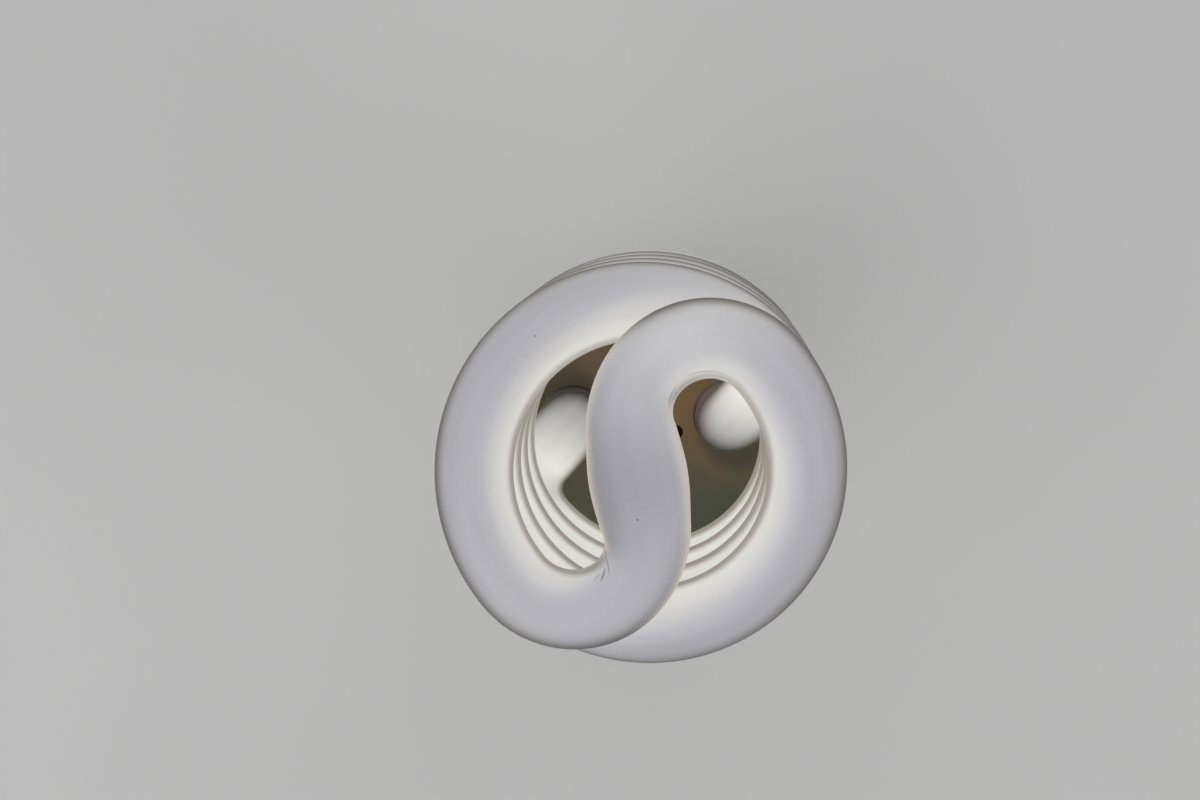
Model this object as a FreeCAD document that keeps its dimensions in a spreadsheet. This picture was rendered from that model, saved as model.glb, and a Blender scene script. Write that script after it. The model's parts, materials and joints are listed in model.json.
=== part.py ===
import FreeCAD, Part
import math
import os
import re

import Sketcher

# Spiral compact fluorescent lamp, in millimetres.
# The lamp's axis is Z, with the centre contact of the screw cap at the origin and the tip of the coil up.
# X and Y are to the right and up for someone who looks down on the tip.

V = FreeCAD.Vector
UP = V(0, 0, 1)

# Driving dimensions: name, value and what it measures.
SIZES = [
    ("tube_diameter", 9.5, "outside diameter of the glass tube"),
    ("coil_radius", 20.0, "lamp axis to the middle of the coiled tube"),
    ("pass_spacing", 10.8, "height from one pass of the tube to the next"),
    ("coil_turns", 2, "full turns of each arm"),
    ("bridge_radius", 9.2, "plan radius of the two bends of the S bridge"),
    ("bridge_azimuth", 40.3, "direction in which the first bend meets the coil"),
    ("bridge_flat", 11.0, "length beside the tip over which the tube starts to fall"),
    ("tip_swell", 1.1, "extra tube radius at the tip"),
    ("swell_reach", 6.8, "distance along the tube over which the swelling fades"),
    ("lead_in_radius", 6.5, "plan radius of the bend from the coil to the leg"),
    ("lead_in_turn", 84.0, "plan angle of that bend"),
    ("leg_bend_radius", 6.5, "radius of the bend down into the leg"),
    ("coil_to_cover", 6.3, "free height between the coil and the cover"),
    ("leg_reach", 9.8, "length of leg below the cover's plate"),
    ("seal_length", 3.6, "length of the closed end of a leg"),
    ("seal_flat", 0.45, "radius of the flat end over the leg's radius"),
    ("exhaust_diameter", 2.2, "sealed exhaust tube at one end"),
    ("exhaust_length", 1.6, "length of the sealed exhaust tube"),
    ("cap_length", 27.0, "contact face to the shoulder of the housing"),
    ("thread_crest", 26.2, "largest diameter of the rolled thread"),
    ("thread_root", 24.4, "smallest diameter of the rolled thread"),
    ("thread_pitch", 3.63, "pitch of the rolled thread"),
    ("cap_wall", 0.35, "sheet thickness of the screw shell"),
    ("skirt_diameter", 26.4, "plain top of the screw shell"),
    ("skirt_height", 3.2, "height of the plain top of the screw shell"),
    ("lip_height", 4.8, "contact face to the lower lip of the shell"),
    ("lip_diameter", 22.4, "diameter of the lower lip of the shell"),
    ("contact_diameter", 9.6, "centre contact"),
    ("contact_thickness", 0.7, "flange of the centre contact"),
    ("contact_stem", 4.4, "diameter of the contact's stem"),
    ("insulator_height", 8.4, "contact face to the top of the insulator"),
    ("housing_height", 37.0, "shoulder to the rim that the cover closes"),
    ("housing_diameter", 47.0, "widest part of the base"),
    ("housing_wall", 1.6, "wall of the plastic base"),
    ("neck_diameter", 28.8, "base at the shoulder"),
    ("neck_height", 2.0, "straight height above the shoulder"),
    ("flare_radius", 12.0, "radius of the hollow curve above the neck"),
    ("flare_angle", 50.0, "slope of the bowl where the curves meet, from upright"),
    ("plug_length", 10.5, "length of the plug inside the screw cap"),
    ("plug_wall", 1.5, "wall of the plug"),
    ("cover_height", 3.0, "rim of the cover above the base"),
    ("cover_plate", 1.8, "thickness of the cover's plate"),
    ("cover_round", 1.6, "rounding of the cover's edge"),
    ("spigot_depth", 4.0, "depth of the cover's ring inside the base"),
    ("spigot_wall", 1.4, "thickness of the cover's ring"),
    ("socket_depth", 4.0, "depth of the socket round each leg"),
    ("socket_wall", 1.3, "wall of the socket round each leg"),
    ("vent_diameter", 2.0, "vent hole in the cover"),
    ("vent_offset", 4.3, "lamp axis to the vent hole"),
    ("vent_azimuth", 330.0, "direction of the vent hole"),
    ("cement_height", 1.5, "height of the cement bead"),
    ("fit_gap", 0.15, "clearance between parts that fit"),
    ("leg_gap", 0.35, "clearance round a leg in the cover"),
    ("board_drop", 1.2, "free height between the tube's exhaust and the board"),
    ("board_thickness", 1.6, "circuit board"),
    ("board_gap", 0.3, "clearance between the board and the base"),
    ("rib_width", 2.0, "ribs that carry the board"),
    ("rib_height", 5.0, "height of those ribs"),
    ("rib_reach", 2.8, "how far a rib stands in from the wall"),
    ("ballast_board", 43.2, "board diameter for which the components are given"),
    ("ballast_height", 24.0, "free height below the board for which they are given"),
    ("lead_diameter", 0.6, "leads of the components"),
    ("lead_end", 1.0, "length of lead above the board"),
    ("hole_gap", 0.12, "clearance of a lead in its hole"),
    ("part_gap", 1.1, "space between neighbouring components"),
    ("ring_inset", 4.3, "edge of the board to the middle of the outer ring of components"),
    ("bulk_diameter", 10.0, "smoothing capacitor"),
    ("bulk_length", 20.0, "length of the smoothing capacitor"),
    ("bulk_offset", 1.0, "smoothing capacitor, off the axis"),
    ("choke_width", 9.0, "choke, across its winding"),
    ("choke_length", 13.0, "choke, along its core"),
    ("choke_height", 11.0, "height of the choke's core"),
    ("core_depth", 5.0, "thickness of the choke's core"),
    ("core_plate", 2.0, "back of each half of the core"),
    ("core_leg", 3.6, "centre leg of the core"),
    ("core_side", 1.9, "outer legs of the core"),
    ("flange_thickness", 0.8, "flanges of the choke's bobbin"),
    ("bobbin_wall", 0.7, "tube of the choke's bobbin"),
    ("box_length", 12.0, "resonance capacitor"),
    ("box_depth", 5.0, "thickness of the resonance capacitor"),
    ("box_height", 10.0, "height of the resonance capacitor"),
    ("small_box_length", 10.0, "coupling capacitor"),
    ("small_box_depth", 4.0, "thickness of the coupling capacitor"),
    ("small_box_height", 9.0, "height of the coupling capacitor"),
    ("start_box_length", 7.0, "starting capacitor"),
    ("start_box_depth", 3.5, "thickness of the starting capacitor"),
    ("start_box_height", 7.0, "height of the starting capacitor"),
    ("toroid_outer", 9.0, "outside of the feedback core"),
    ("toroid_inner", 4.6, "bore of the feedback core"),
    ("toroid_height", 4.0, "height of the feedback core"),
    ("winding_wire", 0.5, "wire of the feedback windings"),
    ("diode_diameter", 2.7, "body of a diode"),
    ("diode_length", 5.2, "length of a diode's body"),
    ("resistor_diameter", 2.3, "body of a resistor"),
    ("resistor_length", 6.2, "length of a resistor's body"),
    ("trigger_diameter", 1.9, "body of the trigger diode"),
    ("trigger_length", 3.8, "length of the trigger diode's body"),
    ("hairpin_pitch", 2.6, "distance between the two leads of an upright component"),
    ("transistor_diameter", 4.8, "body of a transistor"),
    ("transistor_height", 4.8, "height of a transistor's body"),
    ("transistor_flat", 1.3, "centre of the body to its flat"),
    ("transistor_pitch", 1.3, "distance between a transistor's leads"),
    ("stand_off", 1.0, "free lead between a body and the board"),
    ("drum_diameter", 5.6, "input inductor"),
    ("drum_height", 7.0, "height of the input inductor"),
    ("drum_flange", 1.0, "flange of the input inductor"),
    ("drum_core", 2.4, "core between the flanges"),
    ("pin_diameter", 1.0, "wire pins on the board"),
    ("pin_height", 2.3, "pin above the board"),
    ("pin_inset", 3.0, "edge of the board to the wire pins"),
    ("pin_spread", 2.5, "wire pins, to each side of the leg"),
    ("electrode_wire", 0.4, "wire from the tube to its pin"),
    ("electrode_spread", 1.6, "wires, to each side of the leg's middle"),
    ("supply_wire", 1.2, "insulated wires from the cap to the board"),
    ("fuse_diameter", 3.4, "fusible resistor"),
    ("fuse_length", 8.0, "length of the fusible resistor"),
    ("fuse_height", 10.0, "contact face to the fusible resistor"),
]

document = FreeCAD.newDocument("spiral_lamp")
sheet = document.addObject("Spreadsheet::Sheet", "Dim")
sheet.Label = "Dim"
for row, (alias, value, meaning) in enumerate(SIZES, start=1):
    sheet.set(f"A{row}", meaning)
    sheet.set(f"B{row}", str(value))
    sheet.setAlias(f"B{row}", alias)
document.recompute()

parts = []

# Heights along the lamp's axis
SHOULDER = "Dim.cap_length"
RIM = "(Dim.cap_length + Dim.housing_height)"
COVER_TOP = "(Dim.cap_length + Dim.housing_height + Dim.cover_height)"
PLATE = f"({COVER_TOP} - Dim.cover_plate)"
LEG_END = f"({PLATE} - Dim.leg_reach)"
BOARD_TOP = f"({LEG_END} - Dim.exhaust_length - Dim.board_drop)"
BOARD = f"({BOARD_TOP} - Dim.board_thickness)"

# Curves of the base: hollow above the neck, then a round bowl that ends upright at the widest part
NECK = "Dim.neck_diameter / 2"
WIDE = "Dim.housing_diameter / 2"
FLARE_FOOT = "(Dim.cap_length + Dim.neck_height)"
BOWL = "(((Dim.housing_diameter - Dim.neck_diameter) / 2) / (1 - cos(Dim.flare_angle)) - Dim.flare_radius)"
MEET_RADIUS = f"({NECK} + Dim.flare_radius * (1 - cos(Dim.flare_angle)))"
MEET_HEIGHT = f"({FLARE_FOOT} + Dim.flare_radius * sin(Dim.flare_angle))"
BOWL_TOP = f"({MEET_HEIGHT} + {BOWL} * sin(Dim.flare_angle))"
BORE = f"({WIDE} - Dim.housing_wall)"
PLUG = "(Dim.thread_root / 2 - Dim.cap_wall - 2 * Dim.fit_gap)"
COLLAR = "(Dim.skirt_diameter / 2 - Dim.cap_wall - Dim.fit_gap)"
SPIGOT_BORE = f"({BORE} - Dim.fit_gap - Dim.spigot_wall)"

# Width of the bowl at the board, and the share of their full size that the components have room for
INNER_BOWL = f"({BOWL} - Dim.housing_wall)"
BELOW_TOP = f"max(0; {BOWL_TOP} - {BOARD})"
BOARD_RADIUS = f"({BORE} - {INNER_BOWL} + sqrt({INNER_BOWL} ^ 2 - {BELOW_TOP} ^ 2) - Dim.board_gap)"
ROOM = f"min(2 * {BOARD_RADIUS} / Dim.ballast_board; ({BOARD} - {SHOULDER}) / Dim.ballast_height)"
RING = "(Own.ballast_board / 2 - Own.ring_inset)"
PIN_RING = f"({BOARD_RADIUS} - Dim.pin_inset)"


def whole(expression):
    """Expression with each size of the ballast (Own.name) scaled to the room that the base has for it."""
    return re.sub(r"Own\.(\w+)", rf"(Dim.\1 * {ROOM})", expression)


def size(expression):
    """Value of an expression over the sheet's cells."""
    result = sheet.evalExpression(whole(expression))
    return float(getattr(result, "Value", result))


def keep(feature, name):
    """Name a finished piece and put it on the list of parts."""
    feature.Label = name
    parts.append(feature)
    return feature


def bind(feature, expressions):
    """Bind each property of a feature to its expression."""
    for prop, expression in expressions.items():
        feature.setExpression(prop, whole(expression))
    return feature


def at(x, y, z):
    """Expressions that place a feature."""
    return {"Placement.Base.x": x, "Placement.Base.y": y, "Placement.Base.z": z}


def cylinder(name, radius, height, x="0", y="0", z="0"):
    feature = document.addObject("Part::Cylinder", name)
    return bind(feature, {"Radius": radius, "Height": height, **at(x, y, z)})


def box(name, length, width, height, x, y, z):
    """Box centred on x and y, with its foot at z."""
    feature = document.addObject("Part::Box", name)
    corner = at(f"({x}) - ({length}) / 2", f"({y}) - ({width}) / 2", z)
    return bind(feature, {"Length": length, "Width": width, "Height": height, **corner})


def fuse(name, shapes):
    feature = document.addObject("Part::MultiFuse", name)
    feature.Shapes = shapes
    feature.Refine = True
    return feature


def cut(name, base, tool):
    feature = document.addObject("Part::Cut", name)
    feature.Base = base
    feature.Tool = tool
    return feature


def group(name, shapes):
    feature = document.addObject("Part::Compound", name)
    feature.Links = shapes
    return feature


def turned(feature, angle):
    """Turn a feature about the lamp's axis."""
    feature.Placement = FreeCAD.Placement(V(), FreeCAD.Rotation(UP, angle))
    return feature


def rounded(name, base, radius, chosen):
    """Round the edges of a feature for which chosen(edge) is true."""
    document.recompute()
    feature = document.addObject("Part::Fillet", name)
    feature.Base = base
    edges = [number for number, edge in enumerate(base.Shape.Edges, start=1) if chosen(edge)]
    feature.Edges = [(number, radius, radius) for number in edges]
    return feature


def arc_through(start, end, radius, turn):
    """Arc from start to end that turns left (turn 1) or right (turn -1)."""
    chord = end - start
    middle = (start + end) * 0.5
    side = V(-chord.y, chord.x, 0).normalize()
    centre = middle + side * (turn * math.sqrt(radius ** 2 - chord.Length ** 2 / 4))
    first, last = (start, end) if turn > 0 else (end, start)
    begin = math.atan2(first.y - centre.y, first.x - centre.x)
    finish = math.atan2(last.y - centre.y, last.x - centre.x)
    return Part.ArcOfCircle(Part.Circle(centre, UP, radius), begin, finish)


def fixed_sketch(body, plane, outline):
    """Closed sketch on one of the body's planes, with each corner bound to two expressions.

    A corner is (across, up), or (across, up, radius, turn) where an arc leads on to the next corner.
    """
    sketch = body.newObject("Sketcher::SketchObject", body.Name + "_outline")
    origin_plane = next(item for item in body.Origin.OriginFeatures if item.Role == plane)
    sketch.AttachmentSupport = [(origin_plane, "")]
    sketch.MapMode = "FlatFace"
    corners = [V(size(corner[0]), size(corner[1]), 0) for corner in outline]
    for number, corner in enumerate(outline):
        start = corners[number]
        end = corners[(number + 1) % len(corners)]
        if len(corner) == 4:
            sketch.addGeometry(arc_through(start, end, size(corner[2]), corner[3]))
        else:
            sketch.addGeometry(Part.LineSegment(start, end))
    # An arc that turns right is stored from its end to its start.
    reverse = [len(corner) == 4 and corner[3] < 0 for corner in outline]
    for number, corner in enumerate(outline):
        before = number - 1 if number else len(outline) - 1
        first = 2 if reverse[number] else 1
        last = 1 if reverse[before] else 2
        sketch.addConstraint(Sketcher.Constraint("Coincident", before, last, number, first))
        ways = (("DistanceX", corner[0], -2, "x"), ("DistanceY", corner[1], -1, "y"))
        for kind, expression, axis, along in ways:
            if expression == "0":
                sketch.addConstraint(Sketcher.Constraint("PointOnObject", number, first, axis))
            else:
                place = getattr(corners[number], along)
                index = sketch.addConstraint(Sketcher.Constraint(kind, -1, 1, number, first, place))
                bind(sketch, {f"Constraints[{index}]": expression})
        if len(corner) == 4:
            index = sketch.addConstraint(Sketcher.Constraint("Radius", number, size(corner[2])))
            bind(sketch, {f"Constraints[{index}]": corner[2]})
    return sketch


def revolved(name, outline):
    """Body turned from an outline of (radius, height) corners."""
    body = document.addObject("PartDesign::Body", name)
    sketch = fixed_sketch(body, "XZ_Plane", outline)
    turning = body.newObject("PartDesign::Revolution", name + "_turned")
    turning.Profile = sketch
    turning.ReferenceAxis = (sketch, ["V_Axis"])
    turning.Angle = 360
    sketch.Visibility = False
    return body


def padded(name, outline, depth, plane="YZ_Plane"):
    """Body padded evenly to both sides of a plane."""
    body = document.addObject("PartDesign::Body", name)
    sketch = fixed_sketch(body, plane, outline)
    pad = body.newObject("PartDesign::Pad", name + "_pad")
    pad.Profile = sketch
    pad.Midplane = True
    bind(pad, {"Length": depth})
    return body


def skin(centres, normals, directions, radii):
    """Smooth closed tube wall through circles, as a surface that is periodic round the tube."""
    count = 12
    # Poles of a periodic cubic lie a little outside the circle that it follows.
    spread = 3 / (2 + math.cos(2 * math.pi / count))
    stations = [0.0]
    for before, after in zip(centres, centres[1:]):
        stations.append(stations[-1] + (after - before).Length)
    rows = []
    for number in range(count):
        angle = 2 * math.pi * number / count
        points = []
        for centre, normal, direction, radius in zip(centres, normals, directions, radii):
            spoke = normal * math.cos(angle) + direction.cross(normal) * math.sin(angle)
            points.append(centre + spoke * (radius * spread))
        curve = Part.BSplineCurve()
        curve.interpolate(Points=points, Parameters=stations)
        rows.append(curve)
    first = rows[0]
    poles = [[curve.getPole(index) for curve in rows] for index in range(1, first.NbPoles + 1)]
    knots = [number / count for number in range(count + 1)]
    surface = Part.BSplineSurface()
    surface.buildFromPolesMultsKnots(poles, first.getMultiplicities(), [1] * (count + 1),
                                     first.getKnots(), knots, False, True, 3, 3)
    return surface.toShape()


def closed(wall):
    """Solid of a tube wall and a flat disc in each of its two end circles."""
    discs = [Part.Face(Part.Wire([edge])) for edge in wall.Edges if edge.isClosed()]
    shell = Part.Shell([wall] + discs)
    shell.sewShape()
    solid = Part.Solid(shell)
    if solid.Volume < 0:
        solid.reverse()
    return solid


def downhill(heading, angle):
    """Direction of a path that falls at an angle."""
    return V(math.cos(heading) * math.cos(angle), math.sin(heading) * math.cos(angle), -math.sin(angle))


class Arm:
    """Middle line of one arm of the tube, from the tip to the end of its leg.

    Seen from above the tip, the arm runs straight out of the S, bends until it meets the coil from inside,
    follows the coil clockwise, bends inwards and then down into its leg.
    """

    def __init__(self):
        self.radius = size("Dim.tube_diameter / 2")
        self.coil = size("Dim.coil_radius")
        self.bend = size("Dim.bridge_radius")
        self.azimuth = math.radians(size("Dim.bridge_azimuth"))
        self.flat = size("Dim.bridge_flat")
        self.slope = size("Dim.pass_spacing") / (math.pi * self.coil)
        offset = self.coil - self.bend
        self.lean = math.asin(self.bend / offset)
        self.straight = math.sqrt(offset ** 2 - self.bend ** 2)
        self.lead_in = size("Dim.lead_in_radius")
        self.leg_bend = size("Dim.leg_bend_radius")
        self.plan = self.plan_stations()
        self.last = self.plan[-1]
        self.tip = size(COVER_TOP) + size("Dim.coil_to_cover") + self.radius + self.fall(self.last[2])
        self.stations = self.space_stations()
        self.leg = self.stations[-1][0]

    def plan_stations(self):
        """Points of the plan path as (x, y, length so far, heading)."""
        heading = self.azimuth + self.lean
        steps = 3
        path = [(0.0, 0.0, 0.0, heading)]
        for step in range(1, steps + 1):
            run = self.straight * step / steps
            path.append((run * math.cos(heading), run * math.sin(heading), run, heading))
        bends = (
            (self.bend, self.lean + math.pi / 2, math.radians(15)),
            (self.coil, 2 * math.pi * size("Dim.coil_turns"), math.radians(18)),
            (self.lead_in, math.radians(size("Dim.lead_in_turn")), math.radians(12)),
        )
        for radius, turn, pace in bends:
            x, y, run, heading = path[-1]
            centre = V(x + radius * math.sin(heading), y - radius * math.cos(heading), 0)
            steps = max(2, round(turn / pace))
            for step in range(1, steps + 1):
                now = heading - turn * step / steps
                path.append((centre.x - radius * math.sin(now), centre.y + radius * math.cos(now),
                             run + radius * turn * step / steps, now))
        return path

    def steepness(self, run):
        part = min(1.0, run / self.flat)
        return self.slope * part ** 2 * (3 - 2 * part)

    def fall(self, run):
        """Height lost after a run along the plan path."""
        if run < self.flat:
            part = run / self.flat
            return self.slope * self.flat * (part ** 3 - part ** 4 / 2)
        return self.slope * (run - self.flat / 2)

    def space_stations(self):
        """Points of the middle line as (centre, direction, tube radius)."""
        swell = size("Dim.tip_swell")
        reach = size("Dim.swell_reach")
        stations = []
        for x, y, run, heading in self.plan:
            pitch = math.atan(self.steepness(run))
            direction = downhill(heading, pitch)
            radius = self.radius + swell * math.exp(-(run / reach) ** 2)
            stations.append((V(x, y, self.tip - self.fall(run)), direction, radius))
        start = stations[-1][0]
        heading = self.last[3]
        pitch = math.atan(self.slope)
        steps = 7
        for step in range(1, steps + 1):
            angle = pitch + (math.pi / 2 - pitch) * step / steps
            out = self.leg_bend * (math.sin(angle) - math.sin(pitch))
            down = self.leg_bend * (math.cos(pitch) - math.cos(angle))
            centre = start + V(out * math.cos(heading), out * math.sin(heading), -down)
            stations.append((centre, downhill(heading, angle), self.radius))
        # The leg is straight down to its closed end, which narrows like the end of a test tube.
        top = stations[-1][0]
        seal = size("Dim.seal_length")
        length = top.z - size(LEG_END) - seal
        for part in (0.25, 0.5, 0.75, 1.0):
            stations.append((top - UP * (length * part), -UP, self.radius))
        shoulder = stations[-1][0]
        closing = math.sqrt(1 - size("Dim.seal_flat") ** 2)
        for part in (0.25, 0.5, 0.7, 0.85, 0.95, 1.0):
            radius = self.radius * math.sqrt(1 - (closing * part) ** 2)
            stations.append((shoulder - UP * (seal * part), -UP, radius))
        return stations


def carried_normals(centres, directions):
    """Normals that follow the middle line with as little twist as possible."""
    normals = [V(1, 0, 0)]
    for number in range(1, len(centres)):
        step = centres[number] - centres[number - 1]
        mirrored = normals[-1] - step * (2 * step.dot(normals[-1]) / step.dot(step))
        ahead = directions[number - 1] - step * (2 * step.dot(directions[number - 1]) / step.dot(step))
        turn = directions[number] - ahead
        if turn.Length > 1e-9:
            mirrored = mirrored - turn * (2 * turn.dot(mirrored) / turn.dot(turn))
        normals.append((mirrored - directions[number] * mirrored.dot(directions[number])).normalize())
    return normals


def make_discharge_tube(arm):
    """One glass tube: the arm and its copy at half a turn about the axis, met at the tip."""
    outward = arm.stations
    centres = [V(-centre.x, -centre.y, centre.z) for centre, _, _ in reversed(outward[1:])]
    directions = [V(direction.x, direction.y, -direction.z) for _, direction, _ in reversed(outward[1:])]
    radii = [radius for _, _, radius in reversed(outward[1:])]
    centres += [centre for centre, _, _ in outward]
    directions += [direction for _, direction, _ in outward]
    radii += [radius for _, _, radius in outward]
    glass = closed(skin(centres, carried_normals(centres, directions), directions, radii))
    exhaust_radius = size("Dim.exhaust_diameter / 2")
    exhaust_length = size("Dim.exhaust_length")
    exhaust = Part.makeCylinder(exhaust_radius, exhaust_length, arm.leg - UP * exhaust_length)
    exhaust = exhaust.makeFillet(exhaust_radius * 0.6, [exhaust.Edges[2]])
    feature = document.addObject("Part::Feature", "discharge_tube")
    feature.Shape = glass.fuse(exhaust)
    return keep(feature, "discharge_tube")


def smooth(part):
    """Smooth change from 0 to 1."""
    part = min(1.0, max(0.0, part))
    return part * part * (3 - 2 * part)


def make_cap_shell():
    """Rolled screw shell. A circle whose centre moves round the axis once a pitch leaves a round thread."""
    pitch = size("Dim.thread_pitch")
    mean = size("(Dim.thread_crest + Dim.thread_root) / 4")
    depth = size("(Dim.thread_crest - Dim.thread_root) / 4")
    wall = size("Dim.cap_wall")
    bottom = size("Dim.lip_height")
    top = size(SHOULDER)
    lip = size("Dim.lip_diameter / 2")
    skirt = size("Dim.skirt_diameter / 2")
    skirt_foot = top - size("Dim.skirt_height")
    curl = pitch * 0.55
    fade = pitch * 0.5
    steps = 2 * round(6 * (top - bottom) / pitch)
    solids = []
    for inset in (0.0, wall):
        centres = []
        radii = []
        for step in range(steps + 1):
            height = bottom + (top - bottom) * step / steps
            share = min(1.0, (height - bottom) / curl)
            radius = lip + (mean - lip) * math.sqrt(1 - (1 - share) ** 2)
            radius += (skirt - mean) * smooth((height - skirt_foot + fade) / fade)
            swing = depth * smooth((height - bottom - curl) / fade) * smooth((skirt_foot - height) / fade)
            angle = 2 * math.pi * height / pitch
            centres.append(V(swing * math.cos(angle), swing * math.sin(angle), height))
            radii.append(radius - inset)
        count = len(centres)
        solids.append(closed(skin(centres, [V(1, 0, 0)] * count, [UP] * count, radii)))
    outside, inside = solids
    feature = document.addObject("Part::Feature", "cap_shell")
    feature.Shape = outside.cut(inside)
    return keep(feature, "cap_shell")


def make_cap():
    """Centre contact and the insulator that holds it in the shell."""
    stem = "Dim.contact_stem / 2"
    edge = "Dim.contact_diameter / 2"
    flange = "Dim.contact_thickness"
    top = "Dim.insulator_height - 3 * Dim.contact_thickness"
    contact = revolved("centre_contact", [
        ("0", "0"),
        (f"{edge} - {flange}", "0", flange, 1),
        (edge, flange),
        (stem, flange),
        (stem, top),
        ("0", top),
    ])
    keep(contact, "centre_contact")
    hole = "Dim.contact_stem / 2 + Dim.hole_gap"
    cone = "Dim.lip_diameter / 2 - Dim.cap_wall - 2 * Dim.fit_gap"
    seat = "Dim.thread_root / 2 - Dim.cap_wall - 2 * Dim.fit_gap"
    insulator = revolved("cap_insulator", [
        (hole, flange),
        (f"{edge} + {flange}", flange),
        (cone, "Dim.lip_height"),
        (seat, "Dim.lip_height + 0.5 * Dim.thread_pitch"),
        (seat, "Dim.insulator_height"),
        (hole, "Dim.insulator_height"),
    ])
    keep(insulator, "cap_insulator")


def make_housing():
    """Tapered plastic base with a plug for the screw cap and four ribs that carry the board."""
    plug_foot = f"{SHOULDER} - Dim.plug_length"
    collar_foot = f"{SHOULDER} - Dim.skirt_height + Dim.cap_wall"
    wall = "Dim.housing_wall"
    inner_meet = f"{MEET_RADIUS} - {wall} * cos(Dim.flare_angle)"
    shell = revolved("housing_shell", [
        (f"{PLUG} - Dim.plug_wall", plug_foot),
        (PLUG, plug_foot),
        (PLUG, f"{collar_foot} - Dim.cap_wall"),
        (COLLAR, collar_foot),
        (COLLAR, SHOULDER),
        (NECK, SHOULDER),
        (NECK, FLARE_FOOT, "Dim.flare_radius", -1),
        (MEET_RADIUS, MEET_HEIGHT, BOWL, 1),
        (WIDE, BOWL_TOP),
        (WIDE, RIM),
        (BORE, RIM),
        (BORE, BOWL_TOP, f"{BOWL} - {wall}", -1),
        (inner_meet, f"{MEET_HEIGHT} + {wall} * sin(Dim.flare_angle)", f"Dim.flare_radius + {wall}", 1),
        (f"{NECK} - {wall}", FLARE_FOOT),
        (f"{NECK} - {wall}", f"{SHOULDER} + {wall}"),
        (f"{PLUG} - Dim.plug_wall", f"{SHOULDER} + {wall}"),
    ])
    pieces = [shell]
    length = "(Dim.rib_reach + Dim.housing_wall / 2)"
    for number in range(4):
        rib = box(f"rib_{number + 1}", length, "Dim.rib_width", "Dim.rib_height",
                  f"{BORE} + Dim.housing_wall / 2 - {length} / 2", "0", f"{BOARD} - Dim.rib_height")
        pieces.append(turned(group(f"rib_place_{number + 1}", [rib]), 45 + 90 * number))
    keep(fuse("base_housing", pieces), "base_housing")


def make_cover(arm):
    """Cover with a rounded edge, a ring that fits the base, a socket round each leg and two vent holes."""
    round_edge = "Dim.cover_round"
    ring = f"{BORE} - Dim.fit_gap"
    plate = revolved("cover_plate", [
        ("0", PLATE),
        (SPIGOT_BORE, PLATE),
        (SPIGOT_BORE, f"{RIM} - Dim.spigot_depth"),
        (ring, f"{RIM} - Dim.spigot_depth"),
        (ring, RIM),
        (WIDE, RIM),
        (WIDE, f"{COVER_TOP} - {round_edge}", round_edge, 1),
        (f"{WIDE} - {round_edge}", COVER_TOP),
        ("0", COVER_TOP),
    ])
    hole = "Dim.tube_diameter / 2 + Dim.leg_gap"
    sockets = []
    holes = []
    for side, sign in (("right", 1), ("left", -1)):
        x = str(sign * arm.leg.x)
        y = str(sign * arm.leg.y)
        foot = f"{PLATE} - Dim.socket_depth"
        sockets.append(cylinder(f"socket_{side}", f"{hole} + Dim.socket_wall",
                                "Dim.socket_depth + Dim.cover_plate / 2", x, y, foot))
        holes.append(cylinder(f"leg_hole_{side}", hole, "2 * Dim.socket_depth + 2 * Dim.cover_plate",
                              x, y, f"{foot} - Dim.cover_plate"))
        angle = f"(Dim.vent_azimuth + {0 if sign > 0 else 180})"
        holes.append(cylinder(f"vent_{side}", "Dim.vent_diameter / 2", "3 * Dim.cover_plate",
                              f"Dim.vent_offset * cos({angle})", f"Dim.vent_offset * sin({angle})",
                              f"{PLATE} - Dim.cover_plate"))
        under = f"{foot} - Dim.cement_height"
        bead = cylinder(f"cement_{side}", f"{hole} + Dim.socket_wall", "Dim.cement_height", x, y, under)
        edge = size("Dim.cement_height * 0.6")
        low = size(foot) - edge
        bead = rounded(f"cement_round_{side}", bead, edge, lambda item: item.BoundBox.ZMax < low)
        leg = cylinder(f"cement_bore_{side}", "(Dim.tube_diameter + Dim.hole_gap) / 2",
                       "3 * Dim.cement_height", x, y, f"{foot} - 2 * Dim.cement_height")
        # The bead stays inside the cover's ring.
        free = cylinder(f"cement_room_{side}", f"{SPIGOT_BORE} - Dim.hole_gap", "Dim.cement_height", z=under)
        inside = document.addObject("Part::Common", f"cement_inside_{side}")
        inside.Base = bead
        inside.Tool = free
        keep(cut(f"tube_cement_{side}", inside, leg), f"tube_cement_{side}")
    solid = fuse("cover_with_sockets", [plate] + sockets)
    keep(cut("top_cover", solid, group("cover_holes", holes)), "top_cover")


board_holes = []


def leads(name, places, foot, angle=0.0, radius="Own.lead_diameter / 2"):
    """Straight leads from a height up through the board, and the holes that they need there."""
    pins = []
    holes = []
    for number, (x, y) in enumerate(places, start=1):
        length = f"{BOARD_TOP} + Own.lead_end - ({foot})"
        pins.append(cylinder(f"{name}_lead_{number}", radius, length, x, y, foot))
        holes.append(cylinder(f"{name}_hole_{number}", f"{radius} + Dim.hole_gap", "3 * Dim.board_thickness",
                              x, y, f"{BOARD} - Dim.board_thickness"))
    board_holes.append(turned(group(f"{name}_holes", holes), angle))
    return pins


def box_capacitor(name, size_name, x, y, angle=0.0):
    """Film capacitor in a rounded case with its foot on the board."""
    length, depth, height = (f"Own.{size_name}_{way}" for way in ("length", "depth", "height"))
    case = box(f"{name}_case", length, depth, height, x, y, f"{BOARD} - {height}")
    board = size(BOARD)
    edge = size(f"{depth} / 8")
    case = rounded(f"{name}_round", case, edge, lambda item: item.BoundBox.ZMin < board - edge)
    spread = f"3 / 8 * {length}"
    places = [(f"{x} - {spread}", y), (f"{x} + {spread}", y)]
    pins = leads(name, places, f"{BOARD} - {height} / 4", angle)
    keep(turned(fuse(name, [case] + pins), angle), name)


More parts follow.
